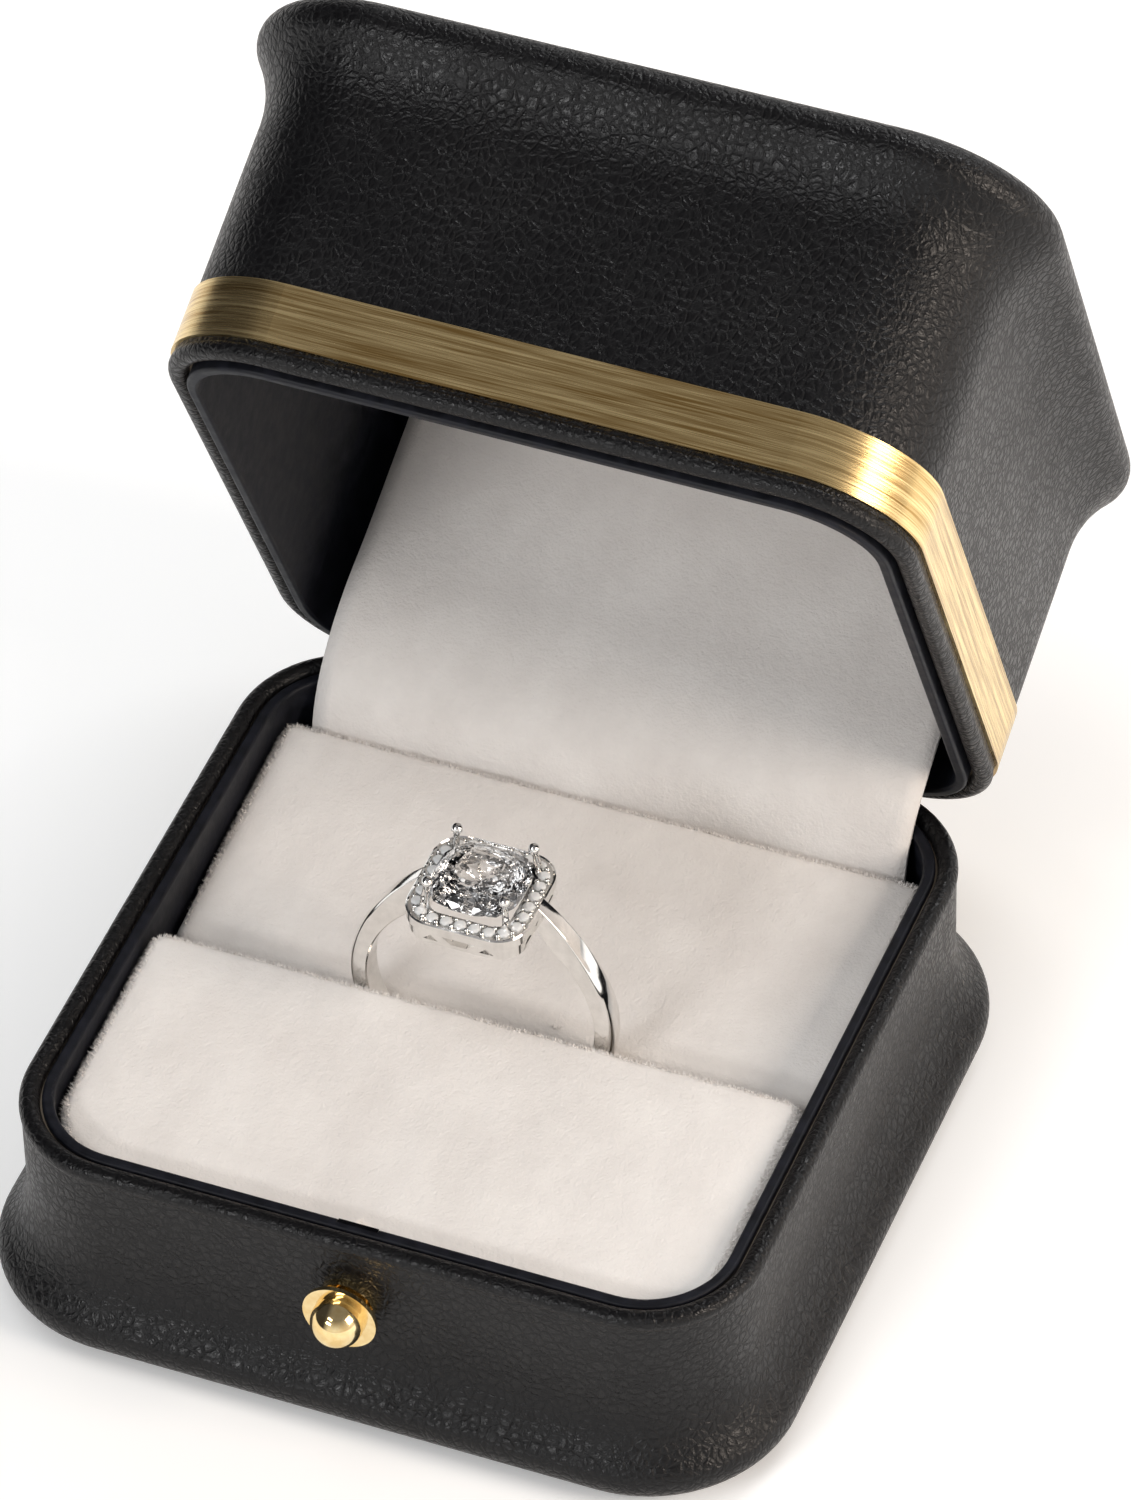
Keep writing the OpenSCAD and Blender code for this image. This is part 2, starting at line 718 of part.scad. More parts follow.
module lid_shell() {
  color("dimgray") opened() difference() {
    as_lid() {
      around() shell_outline(crown_straight, lid_h, crown_flare, lid_ceiling_u, lid_shell_top_u);
      slab(shell_in + lap, lid_ceiling_u, ceiling_t);
    }
    as_lid() magnet(lid_shell_top_u, fit_gap);
    lid_rivet_row(fit_gap);
  }
}

// Section of the gold band; grow widens it into its groove
module band_outline(grow = 0) {
  strip([corner_r + band_proud - band_t - grow, band_u - grow],
    [corner_r + band_proud, band_u + band_h + grow]);
}

module lid_cover() {
  color([0.12, 0.12, 0.13]) opened() difference() {
    as_lid() {
      around() cover_outline(crown_straight, lid_h, crown_flare, corner_r - lap, lid_bead_u);
      slab(corner_r - 2 * lap, lid_h - cover_t, cover_t);
    }
    as_lid() around() band_outline(fit_gap);
  }
}

module lid_liner() {
  leaf_half = lid_knuckle_far + notch_gap;
  color([0.1, 0.1, 0.13]) opened() difference() {
    as_lid() around() collar_outline(lid_ceiling_u, lid_lip_u, lid_shell_top_u);
    block([-leaf_half, leaf_in - lap, lid_rim_z - lap],
      [leaf_half, box_d / 2 - 2 * bead_r, axis_z + lid_leaf_h + notch_gap]);
  }
}

module gold_band() {
  color("gold") opened() as_lid() around() band_outline();
}

module lid_foam() {
  half_x = lining_w / 2 - 2;
  from_y = lining_front_y + lining_bend;
  to_y = lining_rear_y - lining_bend;
  color("khaki") opened()
    block([-half_x, from_y, lining_top_z], [half_x, to_y, lining_top_z + foam_t]);
}

// Arch of the lining sheet in the y-z plane, shrunk by inset
module lining_arch(inset) {
  from_y = lining_front_y + inset;
  to_y = lining_rear_y - inset;
  top = lining_top_z - inset;
  bend = lining_bend - inset;
  translate([from_y, lid_rim_z - lap]) square([to_y - from_y, top - bend - lid_rim_z + lap]);
  translate([from_y + bend, lid_rim_z]) square([to_y - from_y - 2 * bend, top - lid_rim_z]);
  for (y = [from_y + bend, to_y - bend]) translate([y, top - bend]) circle(bend);
}

module lid_lining() {
  rear_z = lid_rim_z + lining_rear_u;
  front_z = lid_rim_z + lining_front_u;
  color("whitesmoke") opened() rotate([90, 0, 90]) linear_extrude(lining_w, center = true)
    difference() {
      lining_arch(0);
      lining_arch(lining_t);
      translate([-box_d / 2, 0]) square([box_d / 2, front_z]);
      translate([0, 0]) square([box_d / 2, rear_z]);
    }
}

module lid_hinge_leaf() {
  leaf_low = axis_z + knuckle_r + knuckle_gap;
  leaf_high = axis_z + lid_leaf_h;
  color("goldenrod") opened() difference() {
    union() {
      block([-lid_knuckle_far, leaf_in, leaf_low], [lid_knuckle_far, shell_back, leaf_high]);
      for (s = [-1, 1]) {
        x = s > 0 ? lid_knuckle_x : -lid_knuckle_far;
        block([x, leaf_in, axis_z], [x + lid_knuckle_w, shell_back, leaf_high]);
        at_axis(x) cylinder(h = lid_knuckle_w, r = knuckle_r);
      }
    }
    at_axis(-knuckle_far) cylinder(h = hinge_w, r = pin_r + pin_clear);
    lid_rivet_row(fit_gap);
  }
}

module lid_rivets() {
  color("gold") opened() lid_rivet_row();
}

module lid_magnet() {
  color("silver") opened() as_lid() magnet(lid_shell_top_u);
}

// ---- Ring ----

module ring_shank() {
  edge = 0.35;
  half_w = shank_w / 2;
  start = 90 - shoulder_angle;
  centre = shank_out - shoulder_r;
  color("silver") at_ring() difference() {
    union() {
      rotate(180 - start) rotate_extrude(angle = 180 + 2 * start) polygon([
        [finger_r, -half_w + edge / 2], [finger_r, half_w - edge / 2], [finger_r + edge / 2, half_w],
        [shank_out - edge, half_w], [shank_out, half_w - 2 * edge], [shank_out, -half_w + 2 * edge],
        [shank_out - edge, -half_w], [finger_r + edge / 2, -half_w]]);
      ring_arc(finger_r, finger_r + bridge_t, shoulder_w, start - 2, shoulder_angle);
      ring_arc(finger_r, finger_r + bridge_t, shoulder_w, 92, shoulder_angle);
      for (m = [0, 1]) mirror([m, 0, 0])
        translate([centre * cos(start), centre * sin(start), 0])
          ring_arc(shoulder_r - shoulder_t, shoulder_r, shoulder_w, start - 1, 26);
    }
    translate([-gallery_half, 0, -shank_w]) cube([2 * gallery_half, 2 * shank_out, 2 * shank_w]);
    translate([-shank_out, halo_z - ring_z, -shank_w]) cube([2 * shank_out, 2 * shank_out, 2 * shank_w]);
  }
}

module ring_gallery() {
  low = ring_z + sqrt(pow(finger_r, 2) - pow(gallery_half, 2)) - 0.2;
  window_h0 = 0.6;
  color("silver") difference() {
    on_head(low) linear_extrude(halo_z - low) difference() {
      cushion(gallery_half, halo_corner_r - 0.4);
      cushion(gallery_half - gallery_wall, halo_corner_r - 0.4 - gallery_wall);
    }
    at_ring() translate([0, 0, -2 * gallery_half]) cylinder(h = 4 * gallery_half, r = finger_r);
    for (a = [0, 90]) on_head(halo_z - 0.25) rotate(a) rotate([90, 0, 0])
      for (x = [-1.8, 0, 1.8]) translate([x, 0, -2 * gallery_half]) linear_extrude(4 * gallery_half)
        polygon([[-0.6, 0], [0.6, 0], [0.25, -window_h0], [-0.25, -window_h0]]);
  }
}

module ring_halo() {
  claw_at = stone_half - 0.1;
  claw_top = girdle_z + 0.6;
  color("silver") {
    on_head(halo_z) linear_extrude(halo_t) difference() {
      cushion(halo_half, halo_corner_r);
      cushion(halo_hole_half, 1.2);
      for (p = halo_places()) translate(p) circle(halo_stone_r * 0.6);
    }
    for (sx = [-1, 1], sy = [-1, 1]) on_head(0) translate([sx * claw_at, sy * claw_at, 0]) {
      translate([0, 0, halo_z + halo_t / 2]) cylinder(h = claw_top - halo_z - halo_t / 2, r = claw_r);
      translate([0, 0, claw_top]) sphere(claw_tip_r, $fn = 24);
    }
  }
}

// Point at distance s along the rounded square that the halo's stones follow
function cushion_point(s, half, r) =
  let (
    flat = 2 * (half - r),
    quarter = flat + PI * r / 2,
    side = floor(s / quarter),
    rest = s - side * quarter,
    turn = (rest - flat) / r * 180 / PI,
    p = rest < flat ? [half, rest - flat / 2] : [half - r + r * cos(turn), flat / 2 + r * sin(turn)],
    a = side * 90)
  [p[0] * cos(a) - p[1] * sin(a), p[0] * sin(a) + p[1] * cos(a)];

// Places of the halo's stones
function halo_places() =
  let (
    half = halo_half - halo_stone_inset,
    r = halo_corner_r - halo_stone_inset + 0.4,
    total = 4 * (2 * (half - r) + PI * r / 2))
  [for (i = [0:halo_count - 1]) cushion_point(total * i / halo_count, half, r)];

module halo_stones() {
  seat = halo_stone_r * 0.6;
  color("white") for (p = halo_places()) on_head(halo_z + halo_t) translate(p) {
    translate([0, 0, 0]) cylinder(h = 0.12, r1 = halo_stone_r, r2 = halo_stone_r * 0.98, $fn = 24);
    translate([0, 0, 0.12]) cylinder(h = 0.16, r1 = halo_stone_r * 0.98, r2 = halo_stone_r * 0.6, $fn = 24);
    translate([0, 0, -0.5]) cylinder(h = 0.5, r = seat - fit_gap, $fn = 24);
  }
}

// One thin level of the centre stone, as a share of its half width
module stone_level(share, z) {
  translate([0, 0, z]) linear_extrude(0.02)
    cushion(stone_half * share, stone_half * share * 0.45, $fn = 16);
}

// Centre stone: table, two steps of crown, girdle, two steps of pavilion and culet
module centre_stone() {
  color("white") on_head(girdle_z) {
    hull() {
      stone_level(1, 0);
      stone_level(1, 0.13);
      stone_level(0.82, crown_h * 0.66);
      stone_level(0.6, crown_h - 0.02);
    }
    hull() {
      stone_level(1, 0);
      stone_level(0.72, -pavilion_h * 0.5);
      stone_level(0.08, -pavilion_h);
    }
  }
}

base_shell();
base_cover();
base_liner();
bottom_felt();
pad_platform();
pad_front();
pad_rear();
hinge_flap();
base_hinge_leaf();
base_rivets();
hinge_pin();
hinge_spring();
base_magnet();
button_bushing();
button_spring();
button_knob();
lift_wedge();
lid_pusher();
lid_shell();
lid_cover();
lid_liner();
gold_band();
lid_foam();
lid_lining();
lid_hinge_leaf();
lid_rivets();
lid_magnet();
ring_shank();
ring_gallery();
ring_halo();
halo_stones();
centre_stone();
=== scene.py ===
"""Looks of a leather covered ring box that stands open with a ring in its velvet pad.

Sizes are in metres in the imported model's frame: the front is -Y, the hinge is at +Y and +Z is up.
"""

import bisect
import logging
import math
import random
from dataclasses import dataclass, field
from enum import Enum

import bmesh
import bpy
from mathutils import Matrix, Vector, noise


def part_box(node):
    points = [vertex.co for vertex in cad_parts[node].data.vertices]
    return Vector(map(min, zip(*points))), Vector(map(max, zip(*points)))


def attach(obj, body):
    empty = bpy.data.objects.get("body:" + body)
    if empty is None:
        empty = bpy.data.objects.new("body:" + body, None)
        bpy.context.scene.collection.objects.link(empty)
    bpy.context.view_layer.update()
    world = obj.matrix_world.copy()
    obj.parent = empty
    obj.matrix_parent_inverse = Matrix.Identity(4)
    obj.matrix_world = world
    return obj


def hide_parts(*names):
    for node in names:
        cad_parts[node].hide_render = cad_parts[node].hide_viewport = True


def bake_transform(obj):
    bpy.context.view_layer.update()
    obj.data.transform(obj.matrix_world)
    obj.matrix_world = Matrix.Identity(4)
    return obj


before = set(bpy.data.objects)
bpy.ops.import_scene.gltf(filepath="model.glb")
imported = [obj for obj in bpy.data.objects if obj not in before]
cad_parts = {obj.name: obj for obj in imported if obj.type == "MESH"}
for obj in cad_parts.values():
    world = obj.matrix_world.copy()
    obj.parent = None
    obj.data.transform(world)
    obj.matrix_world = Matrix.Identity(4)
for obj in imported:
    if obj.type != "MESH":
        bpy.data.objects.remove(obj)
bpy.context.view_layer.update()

MM = 0.001
OPEN_ANGLE = math.radians(65.6)
LOG = logging.getLogger("ring_box")

Point2 = tuple[float, float]
Colour = tuple[float, float, float]
Form = tuple[list[Vector], list[tuple[int, ...]]]


class Slot(Enum):
    """Material slots of the record, one for each kind of new piece."""

    VELVET = "velvet"
    STONE = "clear_stone"
    WHITE_GOLD = "white_gold"


class Grain(Enum):
    """Direction in which the fine lines of a brushed metal run."""

    ALONG_BAND = "along_band"
    NONE = "none"


# ---------------------------------------------------------------- node building


class Board:
    """Short calls for building one shader node tree."""

    def __init__(self, tree: bpy.types.NodeTree) -> None:
        """Starts on a node tree.

        Args:
            tree: the tree that the nodes go into.
        """
        self.tree = tree

    def node(self, kind: str, inputs: dict | None = None, **settings: object) -> bpy.types.Node:
        """Adds a node.

        Args:
            kind: the node's type name without its leading "ShaderNode".
            inputs: values or sockets for its inputs, by name or number.
            settings: properties of the node.

        Returns:
            The new node.
        """
        made = self.tree.nodes.new("ShaderNode" + kind)
        for name, value in settings.items():
            setattr(made, name, value)
        self.fill(made, inputs or {})
        return made

    def fill(self, node: bpy.types.Node, inputs: dict) -> None:
        """Links sockets to a node's inputs, or sets the inputs' own values, by name or number."""
        for key, value in inputs.items():
            if isinstance(value, bpy.types.NodeSocket):
                self.tree.links.new(value, node.inputs[key])
            else:
                node.inputs[key].default_value = value

    def math(self, operation: str, a: object, b: object = 0.0) -> bpy.types.NodeSocket:
        """Returns the result of a Math node."""
        return self.node("Math", {0: a, 1: b}, operation=operation).outputs[0]

    def sum_of(self, first: tuple, second: tuple) -> bpy.types.NodeSocket:
        """Returns the sum of two values, each given with its weight."""
        return self.math("ADD", self.math("MULTIPLY", *first), self.math("MULTIPLY", *second))

    def mix(self, share: object, a: object, b: object) -> bpy.types.NodeSocket:
        """Returns the blend of two colours."""
        made = self.node("Mix", {"Factor": share}, data_type="RGBA")
        self.fill(made, {6: a, 7: b})
        return made.outputs[2]

    def span(self, value: object, low: float, high: float, to_low: float = 0.0,
             to_high: float = 1.0) -> bpy.types.NodeSocket:
        """Returns a value mapped from one range to another and clamped."""
        keys = {"Value": value, "From Min": low, "From Max": high, "To Min": to_low, "To Max": to_high}
        return self.node("MapRange", keys).outputs[0]

    def scaled(self, vector: object, scale: tuple[float, float, float]) -> bpy.types.NodeSocket:
        """Returns a vector multiplied by a scale for each axis."""
        return self.node("VectorMath", {0: vector, 1: scale}, operation="MULTIPLY").outputs[0]

    def clouds(self, vector: object, scale: float, detail: float = 2.0,
               rough: float = 0.5) -> bpy.types.NodeSocket:
        """Returns a noise value at that scale, in waves per metre."""
        keys = {"Vector": vector, "Scale": scale, "Detail": detail, "Roughness": rough}
        return self.node("TexNoise", keys).outputs[0]


def rgb(colour: Colour) -> tuple[float, float, float, float]:
    """Returns a colour with its alpha."""
    return (*colour, 1.0)


def clear_board(owner: bpy.types.Material | bpy.types.World) -> Board:
    """Returns the board of a material's or world's node tree, emptied."""
    owner.use_nodes = True
    owner.node_tree.nodes.clear()
    return Board(owner.node_tree)


def new_group(name: str, inputs: dict[str, float], outputs: tuple[str, ...]) -> tuple:
    """Makes a shader node group that takes a vector and numbers, and gives numbers.

    Args:
        name: the group's name.
        inputs: the default of each number that it takes.
        outputs: the names of the numbers that it gives.

    Returns:
        The group, its board, its vector, its input node and its output node.
    """
    group = bpy.data.node_groups.new(name, "ShaderNodeTree")
    group.interface.new_socket("Vector", in_out="INPUT", socket_type="NodeSocketVector")
    for label, value in inputs.items():
        group.interface.new_socket(label, in_out="INPUT", socket_type="NodeSocketFloat").default_value = value
    for label in outputs:
        group.interface.new_socket(label, in_out="OUTPUT", socket_type="NodeSocketFloat")
    start, end = group.nodes.new("NodeGroupInput"), group.nodes.new("NodeGroupOutput")
    return group, Board(group), start.outputs["Vector"], start, end


class Effects:
    """The shared effects, each built once as a node group."""

    def __init__(self) -> None:
        """Builds the groups."""
        self.leather = self._leather_grain()
        self.velvet = self._velvet_pile()
        self.brushed = self._brushed_and_painted_streaks()
        self.handled = self._handling_marks()
        self.facets = self._inner_facets()

    def place(self, board: Board, group: bpy.types.NodeTree, **inputs: object) -> bpy.types.Node:
        """Puts a group into a material.

        Args:
            board: the material's board.
            group: the group to place.
            inputs: values or sockets for the group's inputs, by their names in small letters.

        Returns:
            The group node.
        """
        made = board.node("Group", node_tree=group)
        board.fill(made, {key.capitalize(): value for key, value in inputs.items()})
        return made

    @staticmethod
    def _leather_grain() -> bpy.types.NodeTree:
        """Returns the group for pebbled leather: height, a mask of its creases, and broad patches."""
        group, board, vector, start, end = new_group(
            "leather_grain", {"Pebbles": 1500.0, "Folds": 0.5}, ("Height", "Crease", "Patch"))
        drift = board.node("TexNoise", {"Vector": vector, "Scale": 420.0, "Detail": 2.0})
        shift = board.node("VectorMath", {0: drift.outputs[1], 1: (0.5, 0.5, 0.5)}, operation="SUBTRACT")
        bent = board.node("VectorMath", {0: shift.outputs[0], "Scale": 0.0011}, operation="SCALE")
        warped = board.node("VectorMath", {0: vector, 1: bent.outputs[0]}, operation="ADD").outputs[0]
        coarse_scale = start.outputs["Pebbles"]
        fine_scale = board.math("MULTIPLY", coarse_scale, 2.3)
        cells, fine = (board.node("TexVoronoi", {"Vector": warped, "Scale": scale, "Randomness": spread},
                                  feature="DISTANCE_TO_EDGE")
                       for scale, spread in ((coarse_scale, 0.95), (fine_scale, 1.0)))
        pebble = board.span(cells.outputs["Distance"], 0.0, 0.22)
        small = board.span(fine.outputs["Distance"], 0.0, 0.3)
        patch = board.clouds(vector, 95.0, 3.0, 0.55)
        fold = board.clouds(board.scaled(vector, (1.0, 1.0, 0.35)), 330.0, 3.0, 0.6)
        pebble_share = board.math("MULTIPLY", pebble, board.span(patch, 0.25, 0.75, 0.5, 1.0))
        height = board.math("ADD", pebble_share, board.math("MULTIPLY", small, 0.3))
        folds = board.math("MULTIPLY", fold, start.outputs["Folds"])
        board.fill(end, {"Height": board.math("ADD", height, folds),
                         "Crease": board.math("SUBTRACT", 1.0, pebble), "Patch": patch})
        return group

    @staticmethod
    def _velvet_pile() -> bpy.types.NodeTree:
        """Returns the group for short pile: height, and a tone from brushed and pressed patches."""
        group, board, vector, start, end = new_group("velvet_pile", {"Fibres": 5200.0}, ("Height", "Tone"))
        tufts = board.node("TexNoise", {"Vector": vector, "Scale": start.outputs["Fibres"], "Detail": 3.0})
        clumps = board.clouds(vector, 1500.0, 3.0, 0.6)
        brushed = board.clouds(board.scaled(vector, (1.0, 0.6, 1.0)), 210.0, 4.0, 0.6)
        pressed = board.clouds(vector, 60.0, 2.0, 0.5)
        board.fill(end, {"Height": board.sum_of((tufts.outputs[0], 0.6), (clumps, 0.9)),
                         "Tone": board.sum_of((brushed, 0.6), (pressed, 0.4))})
        return group

    @staticmethod
    def _brushed_and_painted_streaks() -> bpy.types.NodeTree:
        """Returns the group for lines brushed along x and y: a tone of streaks, which a colour takes as
        painted reflection streaks besides the brushing's own tone, and a height.
        """
        group, board, vector, _, end = new_group("brushed_and_painted_streaks", {}, ("Tone", "Height"))
        broad = board.clouds(board.scaled(vector, (55.0, 55.0, 2600.0)), 1.0, 3.0, 0.7)
        thin = board.clouds(board.scaled(vector, (130.0, 130.0, 9000.0)), 1.0, 2.0, 0.6)
        tone = board.sum_of((broad, 0.6), (thin, 0.4))
        board.fill(end, {"Tone": board.span(tone, 0.4, 0.6), "Height": board.math("ADD", broad, thin)})
        return group

    @staticmethod
    def _handling_marks() -> bpy.types.NodeTree:
        """Returns the group for hairlines and dull spots on a polished face: a mask and a height."""
        group, board, vector, _, end = new_group("handling_marks", {}, ("Mask", "Height"))
        dull = board.clouds(vector, 900.0, 3.0, 0.6)
        hairs = board.clouds(board.scaled(vector, (400.0, 6000.0, 2500.0)), 1.0, 2.0, 0.5)
        board.fill(end, {"Mask": board.span(dull, 0.35, 0.7), "Height": hairs})
        return group

    @staticmethod
    def _inner_facets() -> bpy.types.NodeTree:
        """Returns the group for the broken pattern inside a cut stone: a height and a tone by cell."""
        group, board, vector, start, end = new_group("inner_facets", {"Cells": 1500.0}, ("Height", "Tone"))
        keys = {"Vector": vector, "Scale": start.outputs["Cells"], "Randomness": 1.0}
        cells = board.node("TexVoronoi", keys, feature="F1", distance="MANHATTAN")
        split = board.node("SeparateColor", {"Color": cells.outputs["Color"]})
        board.fill(end, {"Height": cells.outputs["Distance"], "Tone": split.outputs[0]})
        return group


# ---------------------------------------------------------------- finishes


@dataclass(frozen=True)
class Look:
    """What one finish gives its shader: its inputs' values, and a relief with its depth in metres."""

    inputs: dict
    height: bpy.types.NodeSocket
    depth: float
    strength: float = 1.0


@dataclass(frozen=True)
class Finish:
    """A material by name. Each kind of finish says what it looks like, and all are built the same way."""

    name: str

    def look(self, board: Board, effects: Effects, place: bpy.types.NodeSocket) -> Look:
        """Adds the finish's own nodes.

        Args:
            board: the material's board.
            effects: the shared effects.
            place: the piece's own coordinates.

        Returns:
            The finish's look.
        """
        raise NotImplementedError

    def build(self, effects: Effects) -> bpy.types.Material:
        """Makes the material.

        Args:
            effects: the shared effects.

        Returns:
            The material, with its Principled shader and its relief.
        """
        material = bpy.data.materials.new(self.name)
        board = clear_board(material)
        look = self.look(board, effects, board.node("TexCoord").outputs["Object"])
        keys = {"Height": look.height, "Distance": look.depth, "Strength": look.strength}
        shader = board.node("BsdfPrincipled", look.inputs | {"Normal": board.node("Bump", keys).outputs[0]})
        board.node("OutputMaterial", {"Surface": shader.outputs[0]})
        return material


@dataclass(frozen=True)
class LeatherFinish(Finish):
    """Black pebbled leather with dull creases, a little paler on its pebble tops in patches, and a faint warm
    sheen.
    """

    pebbles: float = 1450.0
    depth: float = 0.00005
    folds: float = 0.5
    deep: Colour = (0.0022, 0.0022, 0.0028)
    pebble_top: Colour = (0.0045, 0.0042, 0.0047)
    sheen: Colour = (1.0, 0.8, 0.66)

    def look(self, board: Board, effects: Effects, place: bpy.types.NodeSocket) -> Look:
        """Adds the leather's nodes and returns its look."""
        grain = effects.place(board, effects.leather, vector=place, pebbles=self.pebbles, folds=self.folds)
        crease, patch = grain.outputs["Crease"], grain.outputs["Patch"]
        # Paler on the pebble tops, in patches, and darkest in the creases
        share = board.math("MULTIPLY", board.math("SUBTRACT", 1.0, crease), patch)
        dull = board.math("MULTIPLY", crease, 0.2)
        rough = board.math("ADD", board.span(patch, 0.3, 0.7, 0.26, 0.34), dull)
        inputs = {"Base Color": board.mix(share, rgb(self.deep), rgb(self.pebble_top)), "Roughness": rough,
                  "Specular IOR Level": 0.28, "Sheen Weight": 0.05, "Sheen Roughness": 0.3,
                  "Sheen Tint": rgb(self.sheen)}
        return Look(inputs, grain.outputs["Height"], self.depth)


@dataclass(frozen=True)
class VelvetFinish(Finish):
    """Off-white short pile with brushed patches and a soft sheen at its edges."""

    light: Colour = (0.86, 0.828, 0.8)
    shade: Colour = (0.745, 0.708, 0.682)
    depth: float = 0.00009

    def look(self, board: Board, effects: Effects, place: bpy.types.NodeSocket) -> Look:
        """Adds the velvet's nodes and returns its look."""
        pile = effects.place(board, effects.velvet, vector=place).outputs
        tone = board.mix(board.span(pile["Tone"], 0.32, 0.66), rgb(self.shade), rgb(self.light))
        inputs = {"Base Color": tone, "Roughness": 0.95, "Specular IOR Level": 0.1, "Sheen Weight": 0.25,
                  "Sheen Roughness": 0.45}
        return Look(inputs, pile["Height"], self.depth)


@dataclass(frozen=True)
class CollarFinish(Finish):
    """Smooth blue-black lining paper with a faint fibre."""

    deep: Colour = (0.004, 0.0045, 0.007)
    pale: Colour = (0.011, 0.012, 0.018)
    depth: float = 0.00001

    def look(self, board: Board, effects: Effects, place: bpy.types.NodeSocket) -> Look:
        """Adds the paper's nodes and returns its look."""
        marks = effects.place(board, effects.handled, vector=place).outputs
        inputs = {"Base Color": board.mix(marks["Mask"], rgb(self.deep), rgb(self.pale)),
                  "Roughness": board.span(marks["Mask"], 0.0, 1.0, 0.42, 0.58), "Specular IOR Level": 0.2}
        return Look(inputs, marks["Height"], self.depth)


@dataclass(frozen=True)
class MetalFinish(Finish):
    """Polished or brushed plate. On a brushed plate the colour follows the streaks: partly the brushing's own
    tone, partly painted reflection.
    """

    pale: Colour = (0.95, 0.78, 0.45)
    deep: Colour = (0.8, 0.58, 0.26)
    rough: Point2 = (0.06, 0.16)
    grain: Grain = Grain.NONE
    turned: float = 0.0
    brushed_depth: float = 0.000012
    polished_depth: float = 0.0000015

    def look(self, board: Board, effects: Effects, place: bpy.types.NodeSocket) -> Look:
        """Adds the metal's nodes and returns its look."""
        if self.grain is Grain.ALONG_BAND:
            keys = {"Vector": place, "Angle": self.turned}
            place = board.node("VectorRotate", keys, rotation_type="X_AXIS").outputs[0]
            marks = effects.place(board, effects.brushed, vector=place).outputs
            # Blends the two colours by the streaks: painted dark and bright reflection as well as the
            # brushing's own tone
            share, depth = marks["Tone"], self.brushed_depth
        else:
            marks = effects.place(board, effects.handled, vector=place).outputs
            share, depth = marks["Mask"], self.polished_depth
        inputs = {"Base Color": board.mix(share, rgb(self.deep), rgb(self.pale)), "Metallic": 1.0,
                  "Roughness": board.span(share, 0.0, 1.0, *self.rough)}
        return Look(inputs, marks["Height"], depth)


@dataclass(frozen=True)
class StoneFinish(Finish):
    """Clear cut stone whose inner facets break up what is seen through it."""

    cells: float = 1100.0
    tilt: float = 0.00012
    clear: float = 1.0

    def look(self, board: Board, effects: Effects, place: bpy.types.NodeSocket) -> Look:
        """Adds the stone's nodes and returns its look."""
        inner = effects.place(board, effects.facets, vector=place, cells=self.cells).outputs
        tone = board.mix(inner["Tone"], rgb((0.96, 0.97, 0.97)), rgb((1.0, 1.0, 1.0)))
        inputs = {"Base Color": tone, "Roughness": 0.0, "IOR": 2.3, "Transmission Weight": self.clear}
        return Look(inputs, inner["Height"], self.tilt, 0.15)


@dataclass(frozen=True)
class FeltFinish(Finish):
    """Matted fibres in one or two tones: felt, board or foam."""

    dark: Colour = (0.012, 0.012, 0.014)
    pale: Colour = (0.03, 0.03, 0.034)
    scale: float = 2500.0
    depth: float = 0.00008

    def look(self, board: Board, effects: Effects, place: bpy.types.NodeSocket) -> Look:
        """Adds the fibres' nodes and returns their look."""
        pile = effects.place(board, effects.velvet, vector=place, fibres=self.scale).outputs
        inputs = {"Base Color": board.mix(pile["Tone"], rgb(self.dark), rgb(self.pale)), "Roughness": 0.9}
        return Look(inputs, pile["Height"], self.depth)


# ---------------------------------------------------------------- mesh building


def link(name: str, data: bpy.types.ID) -> bpy.types.Object:
    """Returns a new object with this data, linked to the scene."""
    made = bpy.data.objects.new(name, data)
    bpy.context.scene.collection.objects.link(made)
    return made


def add_mesh(name: str, points: list, faces: list, smooth: bool = True,
             crease: float = 180.0) -> bpy.types.Object:
    """Makes a mesh object with outward normals.

    Args:
        name: the object's name.
        points: its vertices, in metres.
        faces: its faces, as tuples of vertex numbers.
        smooth: whether its faces are shaded smooth.
        crease: angle in degrees above which an edge stays sharp.

    Returns:
        The object, linked to the scene.
    """
    mesh = bpy.data.meshes.new(name)
    mesh.from_pydata([tuple(p) for p in points], [], faces)
    made = bmesh.new()
    made.from_mesh(mesh)
    bmesh.ops.recalc_face_normals(made, faces=made.faces)
    for edge in made.edges:
        edge.smooth = edge.calc_face_angle(0.0) < math.radians(crease)
    made.to_mesh(mesh)
    made.free()
    for face in mesh.polygons:
        face.use_smooth = smooth
    return link(name, mesh)


def strip(low: int, high: int, count: int, closed: bool = True) -> list[tuple[int, ...]]:
    """Returns the faces between two rows of vertices, numbered from low and from high."""
    steps = count if closed else count - 1
    return [(low + j, low + (j + 1) % count, high + (j + 1) % count, high + j) for j in range(steps)]


def loft_faces(rings: list[list[Vector]]) -> Form:
    """Returns the vertices and faces of a closed form from rings of equal length, capped at both ends."""
    count = len(rings[0])
    points = [p for ring in rings for p in ring]
    faces = [face for i in range(len(rings) - 1) for face in strip(i * count, (i + 1) * count, count)]
    for ring, number in ((rings[0], 0), (rings[-1], len(rings) - 1)):
        middle = sum(ring, Vector()) / count
        points.append(middle)
        for j in range(count):
            faces.append((number * count + j, number * count + (j + 1) % count, len(points) - 1))
    return points, faces


def merged(forms: list[Form]) -> Form:
    """Returns the vertices and faces of several forms as one form's."""
    points, faces = [], []
    for more, sides in forms:
        faces += [tuple(len(points) + v for v in face) for face in sides]
        points += more
    return points, faces


def paint(piece: bpy.types.Object, material: bpy.types.Material) -> bpy.types.Object:
    """Gives a new piece its one material."""
    piece.data.materials.clear()
    piece.data.materials.append(material)
    return piece


